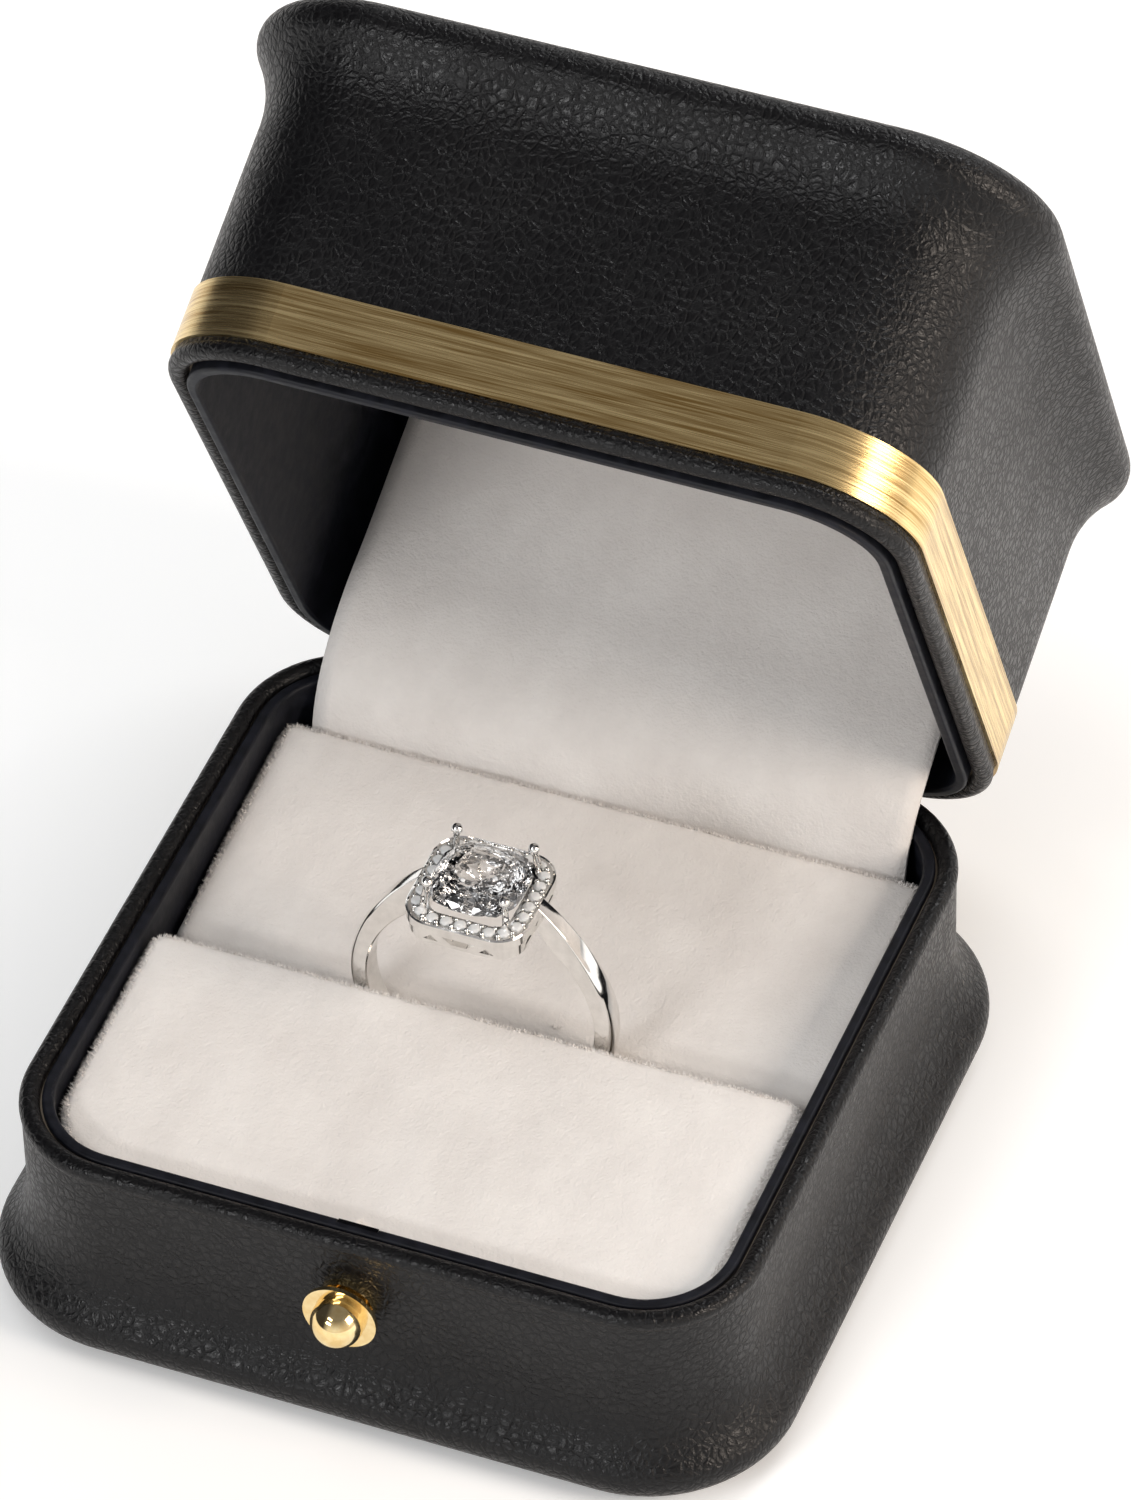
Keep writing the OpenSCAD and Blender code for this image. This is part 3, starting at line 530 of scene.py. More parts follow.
def settle(piece: bpy.types.Object, body: str, slot: Slot, *nodes: str) -> bpy.types.Object:
    """Puts a new piece on a body, in place of the nodes that it replaces.

    Args:
        piece: the new piece.
        body: the body that it rides on.
        slot: the material slot that it belongs to; not used.
        nodes: names of the nodes that it replaces, if any.

    Returns:
        The piece.
    """
    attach(piece, body)
    if nodes:
        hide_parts(*nodes)
    LOG.info("built %s", piece.name)
    return piece


def dress_nodes(material: bpy.types.Material, *names: str) -> None:
    """Gives carried-over nodes a material, in the material slots that they have."""
    for name in names:
        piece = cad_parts[name]
        if not piece.material_slots:
            piece.data.materials.append(material)
        for slot in piece.material_slots:
            slot.material = material
        LOG.info("dressed %s", name)


def polar(radius: float, angle: float, middle: Point2 = (0.0, 0.0)) -> Point2:
    """Returns the place at a radius and angle round a middle."""
    return middle[0] + radius * math.cos(angle), middle[1] + radius * math.sin(angle)


def ripple(x: float, y: float, scale: float, seed: float = 0.0) -> float:
    """Returns smooth noise from -1 to 1 with waves of the given length in metres."""
    return noise.noise(Vector((x / scale, y / scale, seed)))


# ---------------------------------------------------------------- sub-assemblies


@dataclass
class VelvetPad:
    """One stuffed pad: flat below, rounded along its upper edges and slightly crowned.

    Its top is raised by `lift`, from its front edge to its back edge, and stirred by `waves`, each with a
    height, a length and a number that sets it apart. Its sides draw in by `tuck` near the bottom.
    """

    name: str
    node: str
    wall_corner: float
    slot_corner: float
    faces_front: bool
    lift: Point2
    seed: float
    shoulder: float = 0.9 * MM
    step: float = 0.5 * MM
    crown: float = 0.2 * MM
    sunk: float = 0.1 * MM
    waves: tuple = ((0.09 * MM, 9 * MM, 0), (0.05 * MM, 3 * MM, 4), (0.03 * MM, 0.9 * MM, 9))
    tuck: float = 0.25 * MM
    tuck_from: float = 0.65
    fill: float = 0.85

    def _stops(self, low: float, high: float) -> list[float]:
        """Returns the grid's lines between two edges, closer together over the rounded shoulders."""
        near = [self.shoulder * (1 - math.cos(math.radians(90 * i / 7))) for i in range(8)]
        count = math.ceil((high - low - 2 * self.shoulder) / self.step)
        flat = [self.shoulder + (high - low - 2 * self.shoulder) * i / count for i in range(1, count)]
        far = [high - low - d for d in reversed(near)]
        return [low + d for d in near + flat + far]

    def _rounded(self, x: float, y: float) -> Point2:
        """Moves a place of the square plan to its place in the plan with round corners."""
        low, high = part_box(self.node)
        in_front = y < (low.y + high.y) / 2
        radius = self.wall_corner if self.faces_front and in_front else self.slot_corner
        cx = high.x - radius if x > 0 else low.x + radius
        cy = low.y + radius if in_front else high.y - radius
        a, b = (x - cx) * math.copysign(1, x), (y - cy) * (-1 if in_front else 1)
        if a <= 0 or b <= 0:
            return x, y
        share = max(a, b) / math.hypot(a, b)
        return cx + (x - cx) * share, cy + (y - cy) * share

    def build(self, material: bpy.types.Material) -> bpy.types.Object:
        """Builds, dresses and places the pad.

        Args:
            material: the pad's velvet.

        Returns:
            The pad.
        """
        low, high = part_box(self.node)
        xs, ys = self._stops(low.x, high.x), self._stops(low.y, high.y)
        points, faces = [], []
        for y in ys:
            for x in xs:
                inset = min(x - low.x, high.x - x, y - low.y, high.y - y)
                px, py = self._rounded(x, y)
                along = (y - low.y) / (high.y - low.y)
                lift = self.lift[0] + (self.lift[1] - self.lift[0]) * along
                points.append(Vector((px, py, high.z + lift + self._relief(px, py, inset))))
        wide, deep = len(xs), len(ys)
        for j in range(deep - 1):
            faces += strip(j * wide, (j + 1) * wide, wide, closed=False)
        rim = list(range(wide)) + [j * wide + wide - 1 for j in range(1, deep)]
        rim += [(deep - 1) * wide + i for i in reversed(range(wide - 1))]
        rim += [j * wide for j in reversed(range(1, deep - 1))]
        last, count = rim, len(rim)
        for share in (0.3, self.tuck_from, 0.92, 1.0):
            start = len(points)
            tuck = self.tuck * max(0.0, share - self.tuck_from) / (1 - self.tuck_from)
            for top in [points[v] for v in rim]:
                height = top.z + (low.z - top.z) * share
                points.append(Vector((top.x - math.copysign(tuck, top.x), top.y, height)))
            row = list(range(start, start + count))
            faces += [(last[k], last[(k + 1) % count], row[(k + 1) % count], row[k]) for k in range(count)]
            last = row
        faces.append(tuple(reversed(last)))
        piece = paint(add_mesh(self.name, points, faces), material)
        settle(piece, "base", Slot.VELVET, self.node)
        return piece

    def _relief(self, x: float, y: float, inset: float) -> float:
        """Returns how far the pad's top stands off its highest level at one place."""
        share = 1 - min(inset, self.shoulder) / self.shoulder
        fall = self.shoulder * (1 - math.sqrt(max(0.0, 1 - share * share)))
        rise = min(1.0, inset / (4 * self.shoulder))
        waves = sum(height * ripple(x, y, length, self.seed + turn) for height, length, turn in self.waves)
        return self.crown * (rise * (2 - rise) - 1) - fall + waves - self.sunk


@dataclass
class PileFringe:
    """Single fibres that stand off a pad's rounded edges, as short pile does.

    None stand where the lid's pusher runs: within the first value of `bare` from the middle, in front of the
    second.
    """

    name: str
    count: int
    seed: int
    zone: float = 1.6 * MM
    steepest_top: float = 0.93
    length: Point2 = (0.18 * MM, 0.4 * MM)
    width: float = 0.035 * MM
    bare: Point2 = (2.6 * MM, -18.0 * MM)

    def build(self, pad: bpy.types.Object, material: bpy.types.Material) -> bpy.types.Object:
        """Builds the fibres on a pad.

        Args:
            pad: the pad that carries them.
            material: the pad's velvet.

        Returns:
            The fibres, as one piece.
        """
        chance = random.Random(self.seed)
        mesh = pad.data
        top = max(v.co.z for v in mesh.vertices)
        lot = [face for face in mesh.polygons if top - self.zone < face.center.z
               and face.normal.z < self.steepest_top and len(face.vertices) == 4]
        sums, total = [], 0.0
        for face in lot:
            total += face.area
            sums.append(total)
        points, faces = [], []
        for _ in range(self.count):
            face = lot[min(bisect.bisect(sums, chance.random() * total), len(lot) - 1)]
            a, b, c, d = (mesh.vertices[v].co for v in face.vertices)
            u, v = chance.random(), chance.random()
            root = (a * (1 - u) + b * u) * (1 - v) + (d * (1 - u) + c * u) * v
            if abs(root.x) < self.bare[0] and root.y < self.bare[1]:
                continue
            lean = Vector([chance.gauss(0, 0.45) for _ in range(3)])
            way = (face.normal + lean).normalized()
            side = way.cross(Vector([chance.gauss(0, 1) for _ in range(3)])).normalized() * self.width
            start = len(points)
            points += [root - side, root + side, root + way * chance.uniform(*self.length)]
            faces.append((start, start + 1, start + 2))
        return settle(paint(add_mesh(self.name, points, faces), material), "base", Slot.VELVET)


@dataclass
class LiningSheet:
    """The velvet sheet that rises behind the rear pad, crosses the hinge and lines the lid."""

    width: float = 46 * MM
    thickness: float = 0.5 * MM
    slack: float = 0.22 * MM
    wave_step: float = 1.2 * MM
    wave_length: float = 13.0 * MM
    hinge: Point2 = (25.0 * MM, 13.8 * MM)
    rear: float = 19.9 * MM
    front: float = -22.9 * MM
    top: float = 41.3 * MM
    bend: float = 7.0 * MM
    front_edge: float = 29.9 * MM
    straight_from: float = 28.0 * MM
    across: int = 36
    foot: list[Point2] = field(default_factory=lambda: [
        (21.75 * MM, 6.4 * MM), (21.8 * MM, 10.0 * MM), (22.05 * MM, 13.6 * MM), (22.75 * MM, 15.8 * MM),
        (23.9 * MM, 17.6 * MM), (25.5 * MM, 19.1 * MM), (27.5 * MM, 20.5 * MM), (29.9 * MM, 21.75 * MM),
        (32.4 * MM, 22.75 * MM)])

    def opened(self, y: float, z: float) -> Point2:
        """Turns a place in the shut lid to where it is with the lid open."""
        dy, dz = y - self.hinge[0], z - self.hinge[1]
        c, s = math.cos(OPEN_ANGLE), math.sin(OPEN_ANGLE)
        return self.hinge[0] + dy * c + dz * s, self.hinge[1] - dy * s + dz * c

    def profile(self) -> list[Point2]:
        """Returns the sheet's middle line in the y-z plane, from its foot to its front edge."""
        line = list(self.foot)
        corner, rear, front = self.top - self.bend, self.rear - self.bend, self.front + self.bend
        shut = [(self.rear, self.straight_from + (corner - self.straight_from) * i / 5) for i in range(6)]
        shut += [polar(self.bend, math.radians(90 * i / 8), (rear, corner)) for i in range(1, 9)]
        shut += [(rear + (front - rear) * i / 9, self.top) for i in range(1, 9)]
        shut += [polar(self.bend, math.radians(90 + 90 * i / 8), (front, corner)) for i in range(9)]
        line += [self.opened(y, z) for y, z in shut + [(self.front, self.front_edge)]]
        return self._smooth(line)

    @staticmethod
    def _smooth(line: list[Point2], spacing: float = 0.9 * MM) -> list[Point2]:
        """Returns the line as evenly spaced points on a Catmull-Rom curve."""
        dense: list[Vector] = []
        pts = [Vector((p[0], p[1])) for p in line]
        for i in range(len(pts) - 1):
            a, b, c, d = pts[max(i - 1, 0)], pts[i], pts[i + 1], pts[min(i + 2, len(pts) - 1)]
            for k in range(12):
                t = k / 12
                dense.append(0.5 * (2 * b + (c - a) * t + (2 * a - 5 * b + 4 * c - d) * t * t
                                    + (3 * b - a - 3 * c + d) * t ** 3))
        dense.append(pts[-1])
        even, gone = [dense[0]], 0.0
        for a, b in zip(dense, dense[1:]):
            gone += (b - a).length
            if gone >= spacing:
                even.append(b)
                gone = 0.0
        even.append(dense[-1])
        return [(p.x, p.y) for p in even]

    def build(self, material: bpy.types.Material) -> bpy.types.Object:
        """Builds, dresses and places the sheet.

        Args:
            material: the sheet's velvet.

        Returns:
            The sheet.
        """
        line = self.profile()
        points: list[Vector] = []
        for side in (0.5, -0.5):
            for i, (y, z) in enumerate(line):
                before, after = line[max(i - 1, 0)], line[min(i + 1, len(line) - 1)]
                ty, tz = after[0] - before[0], after[1] - before[1]
                run = math.hypot(ty, tz)
                for j in range(self.across + 1):
                    x = self.width * (j / self.across - 0.5)
                    wave = self.slack * ripple(x, i * self.wave_step, self.wave_length, 7.0)
                    off = side * self.thickness + wave
                    points.append(Vector((x, y - tz / run * off, z + ty / run * off)))
        columns, count, base = self.across + 1, len(line), len(points) // 2
        faces = [face for i in range(count - 1)
                 for face in strip(i * columns, (i + 1) * columns, columns, closed=False)]
        faces += [tuple(base + v for v in reversed(face)) for face in faces]
        for j in (0, self.across):
            side_line = [i * columns + j for i in range(count)]
            faces += [(a, b, base + b, base + a) for a, b in zip(side_line, side_line[1:])]
        for first in (0, (count - 1) * columns):
            faces += [(a, base + a, base + a + 1, a + 1) for a in range(first, first + self.across)]
        piece = paint(add_mesh("lining_sheet", points, faces), material)
        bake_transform(piece)
        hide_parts("hinge_flap", "lid_lining")
        return piece


@dataclass
class CutStone:
    """A cushion-cut stone: a regular crown and a pavilion of many small, uneven facets."""

    half: float
    crown: float
    pavilion: float
    squareness: float = 3.1
    table: float = 0.5
    unevenness: float = 0.0
    seed: int = 5

    def rim(self, angle: float, share: float) -> Point2:
        """Returns a place on the stone's rounded square plan, at a share of its half width."""
        c, s = math.cos(angle), math.sin(angle)
        power = self.squareness
        reach = self.half * share / (abs(c) ** power + abs(s) ** power) ** (1 / power)
        return reach * c, reach * s

    def mesh(self, centre: Vector, count: int) -> Form:
        """Returns the stone's vertices and faces.

        Args:
            centre: the middle of its girdle.
            count: number of corners round the girdle.

        Returns:
            The vertices and the faces.
        """
        chance = random.Random(self.seed)
        # Each level: share of the half width, height, and turn in steps of a corner
        above = ((self.table, 1.0, 0.0), (0.72, 0.78, 0.5), (0.9, 0.36, 0.0), (1.0, 0.04, 0.5),
                 (1.0, -0.08, 0.5))
        below = ((0.84, -0.26, 0.0), (0.64, -0.5, 0.5), (0.42, -0.72, 0.0), (0.2, -0.9, 0.5))
        levels = [(share, part * self.crown, turn) for share, part, turn in above]
        levels += [(share, part * self.pavilion, turn) for share, part, turn in below]
        points: list[Vector] = []
        for row, (share, height, turn) in enumerate(levels):
            for i in range(count):
                jog = self.unevenness * (chance.random() - 0.5) if row >= len(above) else 0.0
                angle = 2 * math.pi * (i + turn + 3 * jog) / count + math.pi / count
                x, y = self.rim(angle, share * (1 + jog))
                points.append(centre + Vector((x, y, height * (1 + jog))))
        faces: list[tuple[int, ...]] = []
        for row in range(len(levels) - 1):
            for i in range(count):
                a, b = row * count + i, row * count + (i + 1) % count
                c, d = (row + 1) * count + i, (row + 1) * count + (i + 1) % count
                if levels[row][2] == levels[row + 1][2]:
                    faces.append((a, b, d, c))
                elif levels[row][2] == 0.5:
                    faces += [(a, d, c), (a, b, d)]
                else:
                    faces += [(a, b, c), (b, d, c)]
        faces.append(tuple(range(count)))
        points.append(centre + Vector((0, 0, -self.pavilion)))
        last = (len(levels) - 1) * count
        faces += [(last + i, last + (i + 1) % count, len(points) - 1) for i in range(count)]
        return points, faces


@dataclass
class Ring:
    """The ring: band with rising shoulders, pierced gallery, halo with its stones, claws and centre stone.

    The band is round up to `leaves_at` degrees. From there its outside follows a wider arc to the halo. Its
    inside stays round up to `knee_at` of that way and then runs straight to the gallery's foot.
    """

    centre: Vector = field(default_factory=lambda: Vector((0, -1.55 * MM, 16.85 * MM)))
    finger: float = 8.65 * MM
    outer: float = 10.12 * MM
    leaves_at: float = 24.0
    arc: float = 20.0 * MM
    knee: float = 1.15 * MM
    knee_at: float = 0.78
    round_steps: int = 45
    rising_steps: int = 28
    half_width: float = 1.05 * MM
    head_half_width: float = 0.58 * MM
    flat_from: float = 2.8 * MM
    edge: float = 0.12 * MM
    gallery: float = 4.38 * MM
    gallery_wall: float = 0.55 * MM
    window_sill: float = 0.32 * MM
    halo: float = 4.6 * MM
    halo_corner: float = 2.3 * MM
    halo_low: float = 26.5 * MM
    halo_top: float = 27.5 * MM
    hole: float = 3.05 * MM
    hole_corner: float = 1.2 * MM
    girdle: float = 28.35 * MM
    stone_half: float = 3.42 * MM
    small: float = 0.47 * MM
    bead: float = 0.19 * MM
    bead_apart: float = 0.36 * MM
    claw_foot: float = 3.2 * MM
    claw_top: float = 2.9 * MM
    claw_rear: float = 2.92 * MM
    claw_front: float = 2.66 * MM
    claw_sunk: float = 0.4 * MM
    claw_rise: float = 1.3 * MM
    claw_tip: float = 0.42 * MM

    def _stations(self) -> list[tuple[Point2, Point2]]:
        """Returns inner and outer place of the sections of the right half, from the bottom to the head."""
        found = []
        for i in range(self.round_steps + 1):
            angle = math.radians(-90 + (90 + self.leaves_at) * i / self.round_steps)
            found.append((polar(self.finger, angle), polar(self.outer, angle)))
        turn = math.radians(self.leaves_at)
        middle = polar(self.outer - self.arc, turn)
        end = math.acos((self.halo - 0.06 * MM - middle[0]) / self.arc)
        knee_turn = math.acos((self.gallery + self.knee) / self.finger)
        knee, foot = polar(self.finger, knee_turn), (self.gallery - 0.04 * MM, self.finger)
        for i in range(1, self.rising_steps + 1):
            share = i / self.rising_steps
            if share < self.knee_at:
                inner = polar(self.finger, turn + (knee_turn - turn) * share / self.knee_at)
            else:
                past = (share - self.knee_at) / (1 - self.knee_at)
                inner = (knee[0] + (foot[0] - knee[0]) * past, knee[1] + (foot[1] - knee[1]) * past)
            found.append((inner, polar(self.arc, turn + (end - turn) * share, middle)))
        return found

    def _section(self, inner: Point2, out: Point2) -> list[Vector]:
        """Returns one section of the band: flat inside, rounded outside, and flatter as it rises."""
        dx, dz = out[0] - inner[0], out[1] - inner[1]
        height = max(0.0, (out[1] - self.flat_from) / (self.halo_top - self.centre.z - self.flat_from))
        half = self.half_width + (self.head_half_width - self.half_width) * height
        # The flat widens quickly off the round part, and the rounding beside it gets shallower
        flat = 0.88 * half * min(1.0, max(0.0, height * 1.15 - 0.02)) ** 0.8
        drop = (0.55 - 0.4 * min(1.0, height * 1.3)) * MM / math.hypot(dx, dz)
        crown = []
        for i in range(7):
            away, up = polar(1.0, math.radians(15 * i))
            crown.append((1 - drop * (1 - up), flat + (half - flat) * away))
        across = [(0.0, self.edge - half), (0.0, half - self.edge), (0.06, half)] + crown
        across += [(t, -w) for t, w in reversed(crown)] + [(0.06, -half)]
        return [self.centre + Vector((inner[0] + dx * t, w, inner[1] + dz * t)) for t, w in across]

    def _band(self, metal: bpy.types.Material) -> None:
        """Builds the band and its two shoulders as one closed sweep."""
        right = [self._section(*station) for station in self._stations()]
        left = [[Vector((-p.x, p.y, p.z)) for p in ring] for ring in reversed(right[1:])]
        self._place(add_mesh("ring_band", *loft_faces(left + right), crease=28), metal, "ring_shank")

    def _square(self, half: float, corner: float, z: float, steps: int = 10) -> list[Vector]:
        """Returns a rounded square round the head's middle at one height."""
        found = []
        for k, (sx, sy) in enumerate(((1, 1), (-1, 1), (-1, -1), (1, -1))):
            for i in range(steps + 1):
                angle = math.radians(90 * k + 90 * i / steps)
                x = sx * (half - corner) + corner * math.cos(angle)
                y = sy * (half - corner) + corner * math.sin(angle)
                found.append(Vector((self.centre.x + x, self.centre.y + y, z)))
        return found

    def _walls(self, name: str, rows: tuple, crease: float) -> bpy.types.Object:
        """Makes a closed frame from rows of half width, corner and height that go once round its section."""
        rings = [self._square(*row) for row in rows]
        count = len(rings[0])
        faces = []
        for i in range(len(rings)):
            faces += strip(i * count, (i + 1) % len(rings) * count, count)
        return add_mesh(name, [p for ring in rings for p in ring], faces, crease=crease)

    def _windows(self, sill: float) -> bpy.types.Object:
        """Returns the form of the gallery's windows: bars through the whole head, both ways."""
        shapes = [[(-0.55, 0), (0.55, 0), (1.25, 0.55), (-1.25, 0.55)]]
        shapes += [[(x - 0.55, 0), (x + 0.55, 0), (x, 0.5)] for x in (-2.1, 2.1)]
        middle = Vector((self.centre.x, self.centre.y, 0))
        points, faces = [], []
        for through_y in (True, False):
            for shape in shapes:
                near, far = len(points), len(points) + len(shape)
                for reach in (-8 * MM, 8 * MM):
                    for a, b in shape:
                        x, y = (a * MM, reach) if through_y else (reach, a * MM)
                        points.append(Vector((x, y, sill + b * MM)) + middle)
                faces += [tuple(range(near, far)), tuple(reversed(range(far, len(points))))]
                faces += strip(far, near, len(shape))
        return add_mesh("windows", points, faces, smooth=False)

    def _gallery(self, metal: bpy.types.Material) -> None:
        """Builds the gallery under the halo and cuts its windows."""
        low, high = self.centre.z + self.finger, self.halo_low
        corner = self.halo_corner - self.halo + self.gallery
        rows = ((0.0, low), (0.0, high), (self.gallery_wall, high), (self.gallery_wall, low))
        piece = self._walls("ring_basket", tuple((self.gallery - d, corner - d, z) for d, z in rows), 30)
        knife = self._windows(low + self.window_sill)
        made = piece.modifiers.new("windows", "BOOLEAN")
        made.operation, made.object, made.solver, made.use_self = "DIFFERENCE", knife, "EXACT", True
        result = bpy.data.meshes.new_from_object(piece.evaluated_get(bpy.context.evaluated_depsgraph_get()))
        piece.modifiers.clear()
        piece.data = result
        bpy.data.objects.remove(knife)
        self._place(piece, metal, "ring_gallery")

    def _halo(self, metal: bpy.types.Material) -> None:
        """Builds the halo's frame: a thin bright rim round a sunk field with a square hole."""
        low, top, edge, rim = self.halo_low, self.halo_top, 0.13 * MM, 0.1 * MM
        half, corner = self.halo, self.halo_corner
        rows = ((half - edge, corner - edge, low), (half, corner, low + edge), (half, corner, top - rim),
                (half - rim, corner - rim, top), (half - 2 * rim, corner - 2 * rim, top - rim),
                (self.hole + 0.12 * MM, self.hole_corner + 0.1 * MM, top - rim),
                (self.hole, self.hole_corner, top - 2 * rim), (self.hole, self.hole_corner, low))
        self._place(self._walls("ring_setting", rows, 40), metal, "ring_halo")

    def _claws(self, metal: bpy.types.Material) -> None:
        """Builds the four claws that hold the centre stone."""
        claws = []
        for sx in (-1, 1):
            for sy, reach in ((-1, self.claw_front), (1, self.claw_rear)):
                foot = Vector((sx * self.claw_foot, sy * self.claw_foot, self.halo_top - self.claw_sunk))
                tip = Vector((sx * self.claw_top, sy * reach, self.girdle + self.claw_rise))
                claws.append(loft_faces(self._claw(foot, tip)))
        self._place(add_mesh("ring_claws", *merged(claws)), metal)

    def _claw(self, foot: Vector, tip: Vector) -> list[list[Vector]]:
        """Returns the rings of one claw: a tapered stem with a ball on its end."""
        middle = Vector((self.centre.x, self.centre.y, 0))
        axis = (tip - foot).normalized()
        side = axis.cross(Vector((0, 1, 0))).normalized()
        other = axis.cross(side)
        stations = [(foot, 0.3 * MM), (foot + (tip - foot) * 0.5, 0.26 * MM),
                    (tip - axis * 0.36 * MM, 0.22 * MM)]
        for i in range(1, 9):
            radius, rise = polar(self.claw_tip, math.radians(-58 + 148 * i / 8))
            stations.append((tip + axis * rise, max(radius, 1e-5)))
        rings = []
        for place, radius in stations:
            rings.append([middle + place + side * radius * math.cos(a) + other * radius * math.sin(a)
                          for a in (2 * math.pi * k / 20 for k in range(20))])
        return rings

    def _halo_places(self, count: int = 26) -> list[Point2]:
        """Returns evenly spaced places for the halo's stones, in the head's plan."""
        loop = self._square(self.halo - 0.78 * MM, self.halo_corner - 0.6 * MM, 0.0, 24)
        loop.append(loop[0])
        total = sum((b - a).length for a, b in zip(loop, loop[1:]))
        found, gone, due = [], 0.0, total / count / 2
        for a, b in zip(loop, loop[1:]):
            run = (b - a).length
            while due <= gone + run and len(found) < count:
                spot = a + (b - a) * ((due - gone) / run)
                found.append((spot.x, spot.y))
                due += total / count
            gone += run
        return found

    def _stones(self, stone: bpy.types.Material, small_stone: bpy.types.Material) -> None:
        """Builds the centre stone and the halo's stones."""
        cut = CutStone(self.stone_half, 1.02 * MM, 2.2 * MM, unevenness=0.1)
        middle = Vector((self.centre.x, self.centre.y, self.girdle))
        piece = add_mesh("cushion_stone", *cut.mesh(middle, 14), smooth=False)
        self._place(piece, stone, "centre_stone", slot=Slot.STONE)
        forms = []
        for number, (x, y) in enumerate(self._halo_places()):
            small = CutStone(self.small, 0.2 * MM, 0.3 * MM, 2.0, seed=number, unevenness=0.1)
            forms.append(small.mesh(Vector((x, y, self.halo_top - 0.02 * MM)), 8))
        piece = add_mesh("halo_brilliants", *merged(forms), smooth=False)
        self._place(piece, small_stone, "halo_stones", slot=Slot.STONE)

    def _beads(self, metal: bpy.types.Material) -> None:
        """Builds the pairs of beads between the halo's stones."""
        places = self._halo_places()
        made = bmesh.new()
        for (x, y), (nx, ny) in zip(places, places[1:] + places[:1]):
            between = Vector(((x + nx) / 2, (y + ny) / 2, self.halo_top + 0.02 * MM))
            out = Vector((between.x - self.centre.x, between.y - self.centre.y, 0)).normalized()
            for reach in (-self.bead_apart, self.bead_apart):
                spot = Matrix.Translation(between + out * reach)
                bmesh.ops.create_icosphere(made, subdivisions=2, radius=self.bead, matrix=spot)
        mesh = bpy.data.meshes.new("halo_beads")
        made.to_mesh(mesh)
        made.free()
        for face in mesh.polygons:
            face.use_smooth = True
        self._place(link("halo_beads", mesh), metal)

    def build(self, stone: bpy.types.Material, small_stone: bpy.types.Material,
              metal: bpy.types.Material) -> None:
        """Builds the whole ring.

        Args:
            stone: finish of the centre stone.
            small_stone: finish of the halo's stones.
            metal: finish of the metal.
        """
        self._band(metal)
        self._gallery(metal)
        self._halo(metal)
        self._claws(metal)
        self._stones(stone, small_stone)
        self._beads(metal)

    @staticmethod
    def _place(piece: bpy.types.Object, material: bpy.types.Material, *nodes: str,
               slot: Slot = Slot.WHITE_GOLD) -> None:
        """Dresses a piece and puts it on the ring, in the place of the nodes that are named."""
        settle(paint(piece, material), "ring", slot, *nodes)


# ---------------------------------------------------------------- studio


